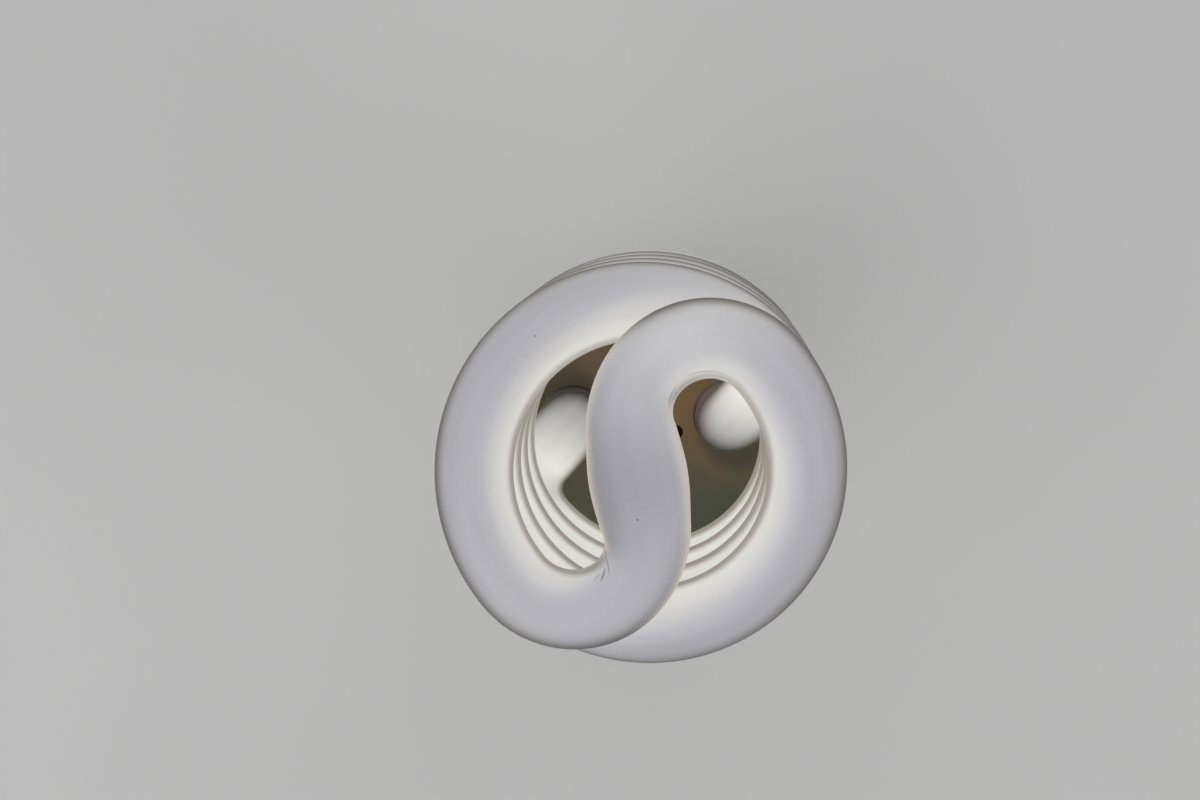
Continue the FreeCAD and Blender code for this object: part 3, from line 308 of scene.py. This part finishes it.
def lower_part(along):
    """0 on the S, the first passes and the legs, 1 on the passes between them."""
    distance = np.abs(along)[:, None]
    return smooth(distance, *LOWER_FROM) * (1 - smooth(distance, *LOWER_TO))


def own_light(line, along, outward):
    """Light of each point of the tube before its neighbours add theirs."""
    away = line * (1.0, 1.0, 0.0)
    distance = np.linalg.norm(away, axis=1)
    on_coil = np.clip((distance - COIL_FROM) / (COIL_FULL - COIL_FROM), 0, 1)
    away /= np.maximum(distance, NEAR_AXIS)[:, None]
    facing = (outward * away[:, None]).sum(axis=2) * on_coil[:, None]
    low = lower_part(along)
    gain = UPPER_GAIN + (LOWER_GAIN - UPPER_GAIN) * low
    power = UPPER_POWER + (LOWER_POWER - UPPER_POWER) * low
    side = 1 + gain * np.clip(facing, 0, 1) ** power + INNER_GAIN * np.clip(-facing, 0, 1) ** 2
    lean = S_LEAN * outward[..., 0].clip(S_LEAN_LEAST, 1)
    side = side + lean * (1 - smooth(np.abs(along), *S_LEAN_FADE))[:, None]
    level = 1 + humps(along, STRETCHES)
    return OWN_LIGHT * level[:, None] * side


def settled(bright, along, outward):
    """Brightness with its highest values held back and the light of the legs set."""
    bright = np.where(bright > KNEE, KNEE + (bright - KNEE) * PAST_KNEE, bright)
    leg = smooth(np.abs(along), *LEG_FADE)[:, None]
    turned = (outward * LEG_SHADED).sum(axis=2) * np.sign(along)[:, None]
    return bright * (1 + leg * (LEG_GAIN - LEG_SHADE * smooth(turned, *LEG_SHADE_TURN)))


def inward(line, along, outward):
    """How far each point of the tube looks to the inside of its bend, from -1 to 1."""
    heading = np.arctan2(*np.gradient(line, axis=0)[:, 1::-1].T)
    right = np.c_[np.sin(heading), -np.cos(heading)] * np.sign(along)[:, None]
    return (outward[..., :2] * right[:, None]).sum(axis=2)


def flank_light(along, outward, inside):
    """Extra light on the flanks of the S."""
    distance = np.abs(along)[:, None]
    gone = np.where(inside > 0, smooth(distance, *FLANK_INSIDE), smooth(distance, *FLANK_OUTSIDE))
    return FLANK_LIGHT * (1 - gone) * (1 - smooth(outward[..., 2], *FLANK_TOP))


def hemisphere(count):
    """Directions about +Z that are spread as a matt surface gathers light."""
    index = np.arange(count) + 0.5
    radius = np.sqrt(index / count)
    turn = index * math.pi * (3 - math.sqrt(5))
    return np.c_[radius * np.cos(turn), radius * np.sin(turn), np.sqrt(1 - radius ** 2)]


def ray_hits(points, normals, tree):
    """Face that each ray from each point meets, or -1."""
    spread = hemisphere(RAYS)
    hits = np.full((len(points), RAYS), -1)
    for number, (point, normal) in enumerate(zip(points, normals)):
        helper = np.array((0.0, 0.0, 1.0)) if abs(normal[2]) < STEEP else np.array((1.0, 0.0, 0.0))
        first = np.cross(helper, normal)
        first /= np.linalg.norm(first)
        second = np.cross(normal, first)
        spin = number * RAY_TURN
        turned = np.c_[spread[:, 0] * math.cos(spin) - spread[:, 1] * math.sin(spin),
                       spread[:, 0] * math.sin(spin) + spread[:, 1] * math.cos(spin), spread[:, 2]]
        rays = turned @ np.array((first, second, normal))
        start = Vector(point + normal * RAY_START)
        for index, ray in enumerate(rays):
            _, _, face, _ = tree.ray_cast(start, Vector(ray))
            if face is not None:
                hits[number, index] = face
    return hits


def exchange(points, outward, own):
    """Light that each point of the tube gets from the rest, and all that it gathers in the studio."""
    rows = np.arange(0, len(points), ROW_STEP)
    coarse = points[rows]
    shape = coarse.shape[:2]
    verts = [tuple(p) for p in coarse.reshape(-1, 3)]
    faces = wall_faces(*shape)
    # The cover, as a disc of one face
    start = len(verts)
    for angle in circle(COVER_SIDES):
        verts.append((COVER_RADIUS * math.cos(angle), COVER_RADIUS * math.sin(angle), COVER_TOP))
    cover_face = len(faces)
    faces.append(tuple(range(start, len(verts))))
    tree = BVHTree.FromPolygons(verts, faces)
    hits = ray_hits(coarse.reshape(-1, 3), outward[rows].reshape(-1, 3), tree)
    own = own[rows].ravel()
    light = own
    to_cover = hits == cover_face
    to_tube = (hits >= 0) & ~to_cover
    patch = np.where(to_tube, hits, 0)
    for _ in range(RETURNS):
        seen = np.where(to_tube, light[patch], 0) + to_cover * (COVER_RETURN * light.mean())
        light = own + GLASS_RETURN * seen.mean(axis=1)
    gathered = np.where(to_tube, light[patch], 0) + (hits < 0) * STUDIO + to_cover * COVER_SHADE
    every = np.arange(len(points))
    fields = []
    for field in (light - own, gathered.mean(axis=1)):
        field = evened(field.reshape(shape))
        fields.append(np.array([np.interp(every, rows, column) for column in field.T]).T)
    return fields


def evened(field):
    """Field with the scatter of its rays evened out, mostly along the tube."""
    for _ in range(SMOOTHINGS):
        padded = np.vstack([field[:1], field, field[-1:]])
        field = (padded[:-2] + 2 * padded[1:-1] + padded[2:]) / 4
    return (2 * field + np.roll(field, 1, axis=1) + np.roll(field, -1, axis=1)) / 4


class Paint:
    """Node material with one Principled shader, and short ways to add the nodes that feed it."""

    def __init__(self, name, **settings):
        self.material = bpy.data.materials.new(name)
        self.material.use_nodes = True
        self.tree = self.material.node_tree
        self.shader = self.tree.nodes["Principled BSDF"]
        for socket, value in settings.items():
            self.shader.inputs[socket.replace("_", " ")].default_value = value
        self.place = self.tree.nodes.new("ShaderNodeTexCoord").outputs["Object"]

    def node(self, kind, inputs=(), **properties):
        node = self.tree.nodes.new(kind)
        for name, value in properties.items():
            setattr(node, name, value)
        for socket, value in dict(inputs).items():
            self.feed(node.inputs[socket], value)
        return node

    def feed(self, socket, value):
        if isinstance(value, bpy.types.NodeSocket):
            self.tree.links.new(value, socket)
        else:
            socket.default_value = value

    def set(self, socket, value):
        self.feed(self.shader.inputs[socket], value)

    def scaled(self, x, y, z):
        """Place on the lamp, stretched along each axis."""
        return self.node("ShaderNodeMapping", {"Vector": self.place, "Scale": (x, y, z)}).outputs[0]

    def noise(self, scale, detail, rough, place=None):
        node = self.node("ShaderNodeTexNoise", {
            "Vector": place or self.place, "Scale": scale, "Detail": detail, "Roughness": rough})
        return node.outputs["Fac"]

    def maths(self, operation, first, second=0.0, third=0.0):
        node = self.tree.nodes.new("ShaderNodeMath")
        node.operation = operation
        for socket, value in zip(node.inputs, (first, second, third)):
            self.feed(socket, value)
        return node.outputs[0]

    def add(self, first, second):
        return self.maths("ADD", first, second)

    def multiply(self, first, second):
        return self.maths("MULTIPLY", first, second)

    def rest(self, value):
        """What is left of 1."""
        return self.maths("SUBTRACT", 1.0, value)

    def ranged(self, value, low, high, to_low=0.0, to_high=1.0):
        """Value from low to high turned into to_low to to_high, smoothly."""
        node = self.node("ShaderNodeMapRange", interpolation_type="SMOOTHSTEP")
        for socket, number in zip(("Value", "From Min", "From Max", "To Min", "To Max"),
                                  (value, low, high, to_low, to_high)):
            self.feed(node.inputs[socket], number)
        return node.outputs["Result"]

    def mix(self, factor, first, second):
        node = self.node("ShaderNodeMix", data_type="RGBA")
        self.feed(node.inputs["Factor"], factor)
        self.feed(node.inputs["A"], first)
        self.feed(node.inputs["B"], second)
        return node.outputs["Result"]

    def axes(self):
        return self.node("ShaderNodeSeparateXYZ", {"Vector": self.place}).outputs

    def off_axis(self):
        """Distance from the lamp's axis, in metres."""
        x, y, _ = self.axes()
        return self.maths("SQRT", self.add(self.multiply(x, x), self.multiply(y, y)))

    def attribute(self, name, output="Fac"):
        return self.node("ShaderNodeAttribute", attribute_name=name).outputs[output]

    def bump(self, height, strength, distance):
        node = self.node("ShaderNodeBump", {"Height": height, "Strength": strength, "Distance": distance})
        return node.outputs["Normal"]


def colour(red, green, blue):
    """Colour as it looks on a screen, 0 to 255, in the values that shaders use."""
    linear = []
    for value in (red, green, blue):
        value /= 255
        linear.append(value / 12.92 if value <= 0.04045 else ((value + 0.055) / 1.055) ** 2.4)
    return (*linear, 1.0)


def near(paint, point, inner, outer):
    """1 within a distance of a point, given in mm, and 0 beyond a larger one."""
    node = paint.node("ShaderNodeVectorMath", {0: paint.place, 1: tuple(c * MM for c in point)},
                      operation="DISTANCE")
    return paint.ranged(node.outputs["Value"], inner * MM, outer * MM, 1.0, 0.0)


# Light lost towards the outline, by how much the wall is seen edge on: from 0, face on, to 1. Partly the clear
# wall of the glass dims the glow, partly it is painted shade.
# It grows with a power of that, and once more over a range. The lower passes keep their light for longer.
EDGE_LOSS = 0.95
OUTLINE_LOSS = 0.28
UPPER_EDGE = (2.0, 0.3, 0.7)
LOWER_EDGE = (3.0, 0.55, 0.85)
# Where a wall looks to the inside of a bend, it has a band in place of that, and a fine rim: painted shade in the
# grooves between passes.
BAND_LOSS = 0.58
BAND_EDGE = (0.36, 0.66)
RIM_LOSS = 0.1
RIM_EDGE = (0.8, 1.0)
# Faint streaks along the glass, and how much shorter than the tube they are drawn.
STREAK = 0.05
SKIN_SHORTENED = 0.12
MOST_LOSS = 0.9
# Specks in the glass: place in mm, how wide, and how dark. SPECK_MIDDLE is the share of one that is fully dark.
SPECKS = (
    ((0.032, -4.0, 132.48), 0.2, 0.5),
    ((0.835, -2.671, 132.68), 0.2, 0.15),
    ((-1.16, -1.655, 132.66), 0.25, 0.12),
    ((-12.306, 16.346, 122.09), 0.2, 0.4),
    ((-13.375, 13.885, 122.48), 0.5, 0.08),
)
SPECK_MIDDLE = 0.4
# Creases of the glass on the inside of the two bends of the S: how wide, and a line of places, each in mm along
# the tube from its tip and in degrees round it.
CREASES = (
    (0.42, ((-14.55, 159.5), (-13.27, 154.1), (-12.3, 149.8))),
    (0.13, ((-15.82, 150.5), (-14.74, 148.9), (-13.91, 148.1))),
    (0.3, ((-8.6, 126.0), (-9.46, 131.0), (-10.73, 143.1), (-11.36, 153.2), (-12.64, 163.8))),
    (0.24, ((9.46, 272.6), (10.73, 269.4), (12.0, 267.6), (13.91, 265.7))),
    (0.1, ((15.82, 263.4), (18.36, 266.1), (20.27, 270.1), (22.82, 272.8), (24.72, 276.3))),
)
# How finely a crease is drawn, how high it is for its width, and where along it its rounded ends are cut off.
CREASE_STEPS = 14
CREASE_SIDES = 8
CREASE_HEIGHT = 0.3
CREASE_ENDS = (0.02, 0.98)


def soft_loss(paint, edge, power, low, high):
    """Light lost towards an edge."""
    return paint.maths("MULTIPLY_ADD", paint.maths("POWER", edge, power), EDGE_LOSS,
                       paint.ranged(edge, low, high, 0.0, OUTLINE_LOSS))


def glass_and_shade_loss(paint):
    """Share of the light held back: partly by the clear glass over the powder, partly painted shade at the
    outlines and in the grooves, with streaks and specks.
    """
    edge = paint.node("ShaderNodeLayerWeight", {"Blend": 0.5}).outputs["Facing"]
    low = paint.attribute("low")
    soft = paint.add(paint.multiply(soft_loss(paint, edge, *LOWER_EDGE), low),
                     paint.multiply(soft_loss(paint, edge, *UPPER_EDGE), paint.rest(low)))
    band = paint.add(paint.ranged(edge, *BAND_EDGE, 0.0, BAND_LOSS),
                     paint.ranged(edge, *RIM_EDGE, 0.0, RIM_LOSS))
    loss = paint.add(paint.multiply(band, paint.attribute("band")),
                     paint.multiply(soft, paint.rest(paint.attribute("banded"))))
    streak = paint.noise(0.42, 3, 0.55, paint.attribute("skin", "Vector"))
    loss = paint.add(loss, paint.ranged(streak, 0.35, 0.7, 0.0, STREAK))
    for spot, width, dark in SPECKS:
        loss = paint.add(loss, paint.multiply(near(paint, spot, SPECK_MIDDLE * width, width), dark))
    return paint.maths("MINIMUM", loss, MOST_LOSS)


def lit_glass():
    """Powder-coated glass of the lit tube, with painted shade at its outlines and in its grooves."""
    paint = Paint("tube_glass", IOR=1.5, Specular_IOR_Level=0.2)
    mottle = paint.noise(140, 2, 0.5)
    shade = paint.ranged(paint.attribute("bright"), 0.44, 0.72)
    body = paint.mix(shade, colour(153, 152, 157), colour(156, 155, 151))
    body = paint.mix(paint.ranged(mottle, 0.35, 0.65, 0.0, 0.12), body, colour(142, 141, 148))
    loss = glass_and_shade_loss(paint)
    # The base colour and the glow both go dark towards the outlines and in the grooves: painted shade.
    paint.set("Base Color", paint.mix(loss, body, colour(20, 20, 20)))
    paint.set("Roughness", paint.ranged(mottle, 0.3, 0.7, 0.26, 0.32))
    glow = paint.mix(shade, colour(250, 250, 253), colour(255, 254, 249))
    paint.set("Emission Color", paint.mix(loss, glow, colour(255, 242, 223)))
    strength = paint.maths("MULTIPLY_ADD", paint.attribute("net"), paint.rest(loss), paint.attribute("flank"))
    paint.set("Emission Strength", paint.maths("MAXIMUM", strength, 0.0))
    paint.set("Normal", paint.bump(mottle, 0.05, 0.0004))
    return paint.material


def moulded(name, light, dark, scale=260, rough=(0.32, 0.45)):
    """Moulded plastic with faint clouding and a fine skin."""
    paint = Paint(name)
    cloud = paint.noise(scale, 4, 0.55)
    grain = paint.noise(scale * 9, 2, 0.5)
    paint.set("Base Color", paint.mix(paint.ranged(cloud, 0.3, 0.75), colour(*light), colour(*dark)))
    paint.set("Roughness", paint.ranged(cloud, 0.3, 0.7, *rough))
    paint.set("Normal", paint.bump(grain, 0.03, 0.0001))
    return paint


def metal(name, light, dark, rough=(0.22, 0.4), lines=0.0):
    """Metal with faint stains and, where asked for, rolling lines round the axis."""
    paint = Paint(name, Metallic=1.0)
    stain = paint.noise(120, 3, 0.5)
    paint.set("Base Color", paint.mix(paint.ranged(stain, 0.35, 0.7), colour(*light), colour(*dark)))
    paint.set("Roughness", paint.ranged(stain, 0.3, 0.7, *rough))
    if lines:
        rings = paint.noise(1.0, 3, 0.6, paint.scaled(30, 30, 3500))
        paint.set("Normal", paint.bump(rings, lines, 0.00005))
    return paint


# The cover, in mm: distance from the axis at which its dark middle turns to the cream of the rim, the range along
# Y from olive to brown, and the range along X over which the brown is duller. The dark middle is partly the
# plastic's own colour, partly painted shade under the coil.
CREAM_FROM = (18.5, 23.8)
BROWN_FROM = (-9.8, 1.0)
DULL_TO = (-6.0, 2.0)
# A painted shadow beside each leg: where, and from how near to how far.
LEG_SHADOW = (12.3, -3.0)
LEG_SHADOW_REACH = (3.4, 6.2)


def cover_paint():
    """Cream plastic, dark in the middle, olive towards -Y and brown towards +Y, partly its own colour and partly
    painted shade under the coil, with a painted shadow beside each leg.
    """
    paint = moulded("cover_plastic", (214, 208, 186), (204, 197, 172))
    wander = paint.noise(150, 3, 0.5)
    patches = paint.ranged(wander, 0.3, 0.7)
    cream_from, cream_full = (distance * MM for distance in CREAM_FROM)
    # The middle under the coil is darker: partly the plastic's own colour, partly painted shade.
    edge = paint.add(paint.off_axis(), paint.multiply(wander, 0.003))
    in_middle = paint.ranged(edge, cream_from, cream_full, 1.0, 0.0)
    olive = paint.mix(patches, colour(66, 70, 55), colour(74, 74, 57))
    brown = paint.mix(patches, colour(112, 89, 49), colour(124, 99, 52))
    dull_full, dull_to = (distance * MM for distance in DULL_TO)
    brown = paint.mix(paint.ranged(paint.axes()[0], dull_full, dull_to, 0.75, 0.0), brown, colour(84, 71, 50))
    brown_from, brown_full = (distance * MM for distance in BROWN_FROM)
    side = paint.add(paint.axes()[1], paint.multiply(wander, 0.004))
    middle_colour = paint.mix(paint.ranged(side, brown_from, brown_full), olive, brown)
    # A painted shadow beside each leg, darkening the cover.
    for sign in (1, -1):
        leg_shadow = near(paint, (sign * LEG_SHADOW[0], sign * LEG_SHADOW[1], COVER_TOP), *LEG_SHADOW_REACH)
        middle_colour = paint.mix(paint.multiply(leg_shadow, 0.6), middle_colour, colour(40, 38, 30))
    cream = paint.shader.inputs["Base Color"].links[0].from_socket
    paint.set("Base Color", paint.mix(in_middle, cream, middle_colour))
    return paint.material


# Looks of the other pieces, by material slot. Moulded: its two colours, how fine its clouding is and the range of
# its roughness. Metal: its two colours, the range of its roughness and the depth of its rolling lines.
MOULDED = {
    "base_plastic": ((228, 227, 222), (225, 223, 217), 90, (0.24, 0.32)),
    "cement": ((222, 218, 206), (196, 190, 174), 900, (0.7, 0.9)),
    "cap_glass": ((26, 22, 30), (40, 34, 44), 300, (0.1, 0.2)),
    "board": ((150, 120, 62), (132, 100, 50), 200, (0.5, 0.7)),
    "bulk_sleeve": ((30, 34, 44), (40, 44, 54), 300),
    "ferrite": ((52, 50, 50), (70, 68, 66), 500, (0.6, 0.8)),
    "bobbin_plastic": ((36, 36, 38), (48, 48, 50)),
    "film_case": ((134, 44, 32), (112, 34, 26)),
    "diode_body": ((24, 24, 25), (36, 36, 38)),
    "resistor_body": ((196, 172, 128), (178, 150, 104)),
    "trigger_glass": ((40, 60, 140), (60, 84, 160)),
    "transistor_body": ((22, 22, 23), (33, 33, 35)),
    "wire_insulation": ((196, 44, 36), (170, 34, 30)),
}
METALS = {
    "cap_metal": ((216, 213, 206), (202, 197, 188), (0.2, 0.3), 0.25),
    "contact_metal": ((205, 196, 178), (168, 160, 146), (0.3, 0.5)),
    "lead_wire": ((206, 206, 204), (180, 180, 178)),
    "copper_winding": ((190, 104, 58), (150, 76, 40)),
}


def dress():
    """Materials for the nodes that keep their own shape, by material slot."""
    paints = {"cover_plastic": cover_paint()}
    for make, looks in ((moulded, MOULDED), (metal, METALS)):
        for name, look in looks.items():
            paints[name] = make(name, *look).material
    slots = {row["node"]: row["material_slot"] for row in frame["record"]["subparts"]}
    for name, node in frame["nodes"].items():
        if slots[name] in paints:
            node.data.materials.clear()
            node.data.materials.append(paints[slots[name]])


def crease_shade_glass():
    """Dull glass that glows less than the tube: painted shade that shows each crease as a dark line."""
    paint = Paint("glass_crease", IOR=1.5, Roughness=0.4)
    cloud = paint.noise(700, 2, 0.5)
    paint.set("Base Color", paint.mix(cloud, colour(122, 116, 111), colour(108, 103, 99)))
    paint.set("Emission Color", paint.mix(cloud, colour(255, 246, 236), colour(240, 232, 224)))
    paint.set("Emission Strength", paint.ranged(cloud, 0.2, 0.8, 0.13, 0.17))
    return paint.material


def on_grid(field, row, side):
    """Values of a field at places that lie between its rows and sides."""
    row_below, side_below = row.astype(int), side.astype(int)
    over, round_it = (row - row_below)[:, None], (side - side_below)[:, None]
    first, second = (
        field[line, side_below] * (1 - round_it) + field[line, side_below + 1] * round_it
        for line in (row_below, row_below + 1))
    return first * (1 - over) + second * over


def add_creases(points, outward, along):
    """Low ridges on the glass, each a closed sliver that follows the tube's wall."""
    # Painted shade of the folds: the ridges are darker and glow less than the tube.
    material = crease_shade_glass()
    steps = np.linspace(0, 1, CREASE_STEPS)
    angle = circle(CREASE_SIDES)
    for number, (width, places) in enumerate(CREASES, 1):
        part = np.linspace(0, 1, len(places))
        run = np.interp(steps, part, [spot[0] for spot in places])
        row = np.interp(run, along, np.arange(len(along)))
        side = np.interp(steps, part, [spot[1] for spot in places]) / 360 * TUBE_SIDES
        middle, out = on_grid(points, row, side), on_grid(outward, row, side)
        across = np.cross(out, np.gradient(middle, axis=0))
        across /= np.linalg.norm(across, axis=1)[:, None]
        half = width / 2 * np.sqrt(np.sin(math.pi * np.clip(steps, *CREASE_ENDS)))
        rings = (middle[:, None] + across[:, None] * (half[:, None] * np.cos(angle))[:, :, None]
                 + out[:, None] * (half[:, None] * CREASE_HEIGHT * np.sin(angle))[:, :, None])
        mesh = grid_mesh(f"glass_crease_{number}", rings, ((middle[0][None],), (middle[-1][None],)))
        place(f"glass_crease_{number}", mesh, "tube_glass", material)


def keep_fields(mesh, points, outward, line, along):
    """Numbers on the mesh that the glass's material reads, one at each point."""
    own = own_light(line, along, outward)
    lit, gathered = exchange(points, outward, own)
    bright = settled(own + lit, along, outward)
    inside = inward(line, along, outward)
    distance = np.abs(along)[:, None]
    banded = smooth(inside, *BAND_INSIDE) * smooth(distance, *BAND_FROM) * (1 - smooth(distance, *LEG_FADE))
    fields = {
        "bright": bright,
        "net": bright - PAINT * gathered,
        "flank": flank_light(along, outward, inside),
        "banded": banded,
        "band": banded * (1 - humps(along, FAINTER_BANDS))[:, None],
        "low": np.broadcast_to(lower_part(along), bright.shape),
    }
    for name, field in fields.items():
        # The points past the grid, which close the two ends, take the value of its first point.
        values = np.full(len(mesh.vertices), float(field[0, 0]), np.float32)
        values[:field.size] = field.ravel()
        mesh.attributes.new(name, "FLOAT", "POINT").data.foreach_set("value", values)
    # Place on the skin: round the tube, and along it much shortened, so that streaks run lengthwise.
    skin = np.zeros((len(mesh.vertices), 3), np.float32)
    angle = circle(TUBE_SIDES)
    skin[:bright.size, 0] = np.tile(TUBE_RADIUS * np.cos(angle), len(along))
    skin[:bright.size, 1] = np.tile(TUBE_RADIUS * np.sin(angle), len(along))
    skin[:bright.size, 2] = np.repeat(along * SKIN_SHORTENED, TUBE_SIDES)
    mesh.attributes.new("skin", "FLOAT_VECTOR", "POINT").data.foreach_set("vector", skin.ravel())


def add_tube():
    """The lit tube, in place of the CAD one, and the creases on it."""
    points, outward, line, along = tube_grid()
    right_end = []
    for radius, depth in EXHAUST_RINGS:
        right_end.append(line[-1] + outward[-1] * radius - np.array((0, 0, depth * EXHAUST_LENGTH)))
    right_end.append((line[-1] - np.array((0, 0, EXHAUST_LENGTH)))[None])
    mesh = grid_mesh("lit_tube", points, ((line[0][None],), right_end))
    keep_fields(mesh, points, outward, line, along)
    add_creases(points, outward, along)
    place("lit_tube", mesh, "tube_glass", lit_glass(), "discharge_tube")


# The studio. The floor lies a little under the lamp. Each soft light: place, width and power.
FLOOR_SIZE = 4.0
FLOOR_DROP = 0.0004
SKY_COLOUR = (0.96, 0.97, 1.0, 1.0)
SKY_STRENGTH = 0.75
LIGHTS = {
    "key": ((-0.55, -0.35, 0.85), 1.0, 2.6),
    "fill": ((0.75, -0.45, 0.5), 1.0, 1.2),
    "back": ((0.1, 0.8, 0.55), 0.9, 1.2),
}
LIT_POINT = (0, 0, 0.06)
# The camera, as fitted to the photograph: place in metres, turn in degrees, lens and sensor in mm.
CAMERA_PLACE = (0.00732, 0.03601, 0.36838)
CAMERA_TURN = (-6.348, 2.728, -0.495)
LENS = 62.62
SENSOR_WIDTH = 36
CLIP_START = 0.01


def add_object(name, data):
    """Object that isn't a piece of the lamp."""
    item = bpy.data.objects.new(name, data)
    bpy.context.scene.collection.objects.link(item)
    return item


def stage():
    """Plain pale floor, soft lights and the camera at the photograph's viewing angle."""
    bpy.ops.mesh.primitive_plane_add(size=FLOOR_SIZE, location=(0, 0, -FLOOR_DROP))
    floor = bpy.context.object
    floor.name = "floor"
    paint = Paint("floor", Roughness=0.9)
    grain = paint.ranged(paint.noise(6, 2, 0.5), 0.3, 0.7)
    paint.set("Base Color", paint.mix(grain, colour(190, 189, 187), colour(186, 185, 183)))
    floor.data.materials.append(paint.material)
    world = bpy.data.worlds.new("studio")
    bpy.context.scene.world = world
    world.use_nodes = True
    sky = world.node_tree.nodes["Background"]
    sky.inputs["Color"].default_value = SKY_COLOUR
    sky.inputs["Strength"].default_value = SKY_STRENGTH
    for name, (spot, size, power) in LIGHTS.items():
        data = bpy.data.lights.new(name, "AREA")
        data.shape = "DISK"
        data.size = size
        data.energy = power
        lamp = add_object(name, data)
        lamp.location = spot
        lamp.rotation_euler = (Vector(LIT_POINT) - Vector(spot)).to_track_quat("-Z", "Y").to_euler()
    data = bpy.data.cameras.new("camera")
    data.sensor_width = SENSOR_WIDTH
    data.lens = LENS
    data.clip_start = CLIP_START
    camera = add_object("camera", data)
    camera.location = CAMERA_PLACE
    camera.rotation_euler = tuple(math.radians(angle) for angle in CAMERA_TURN)
    bpy.context.scene.camera = camera
    bpy.context.scene.view_settings.view_transform = "Standard"


dress()
add_tube()
stage()
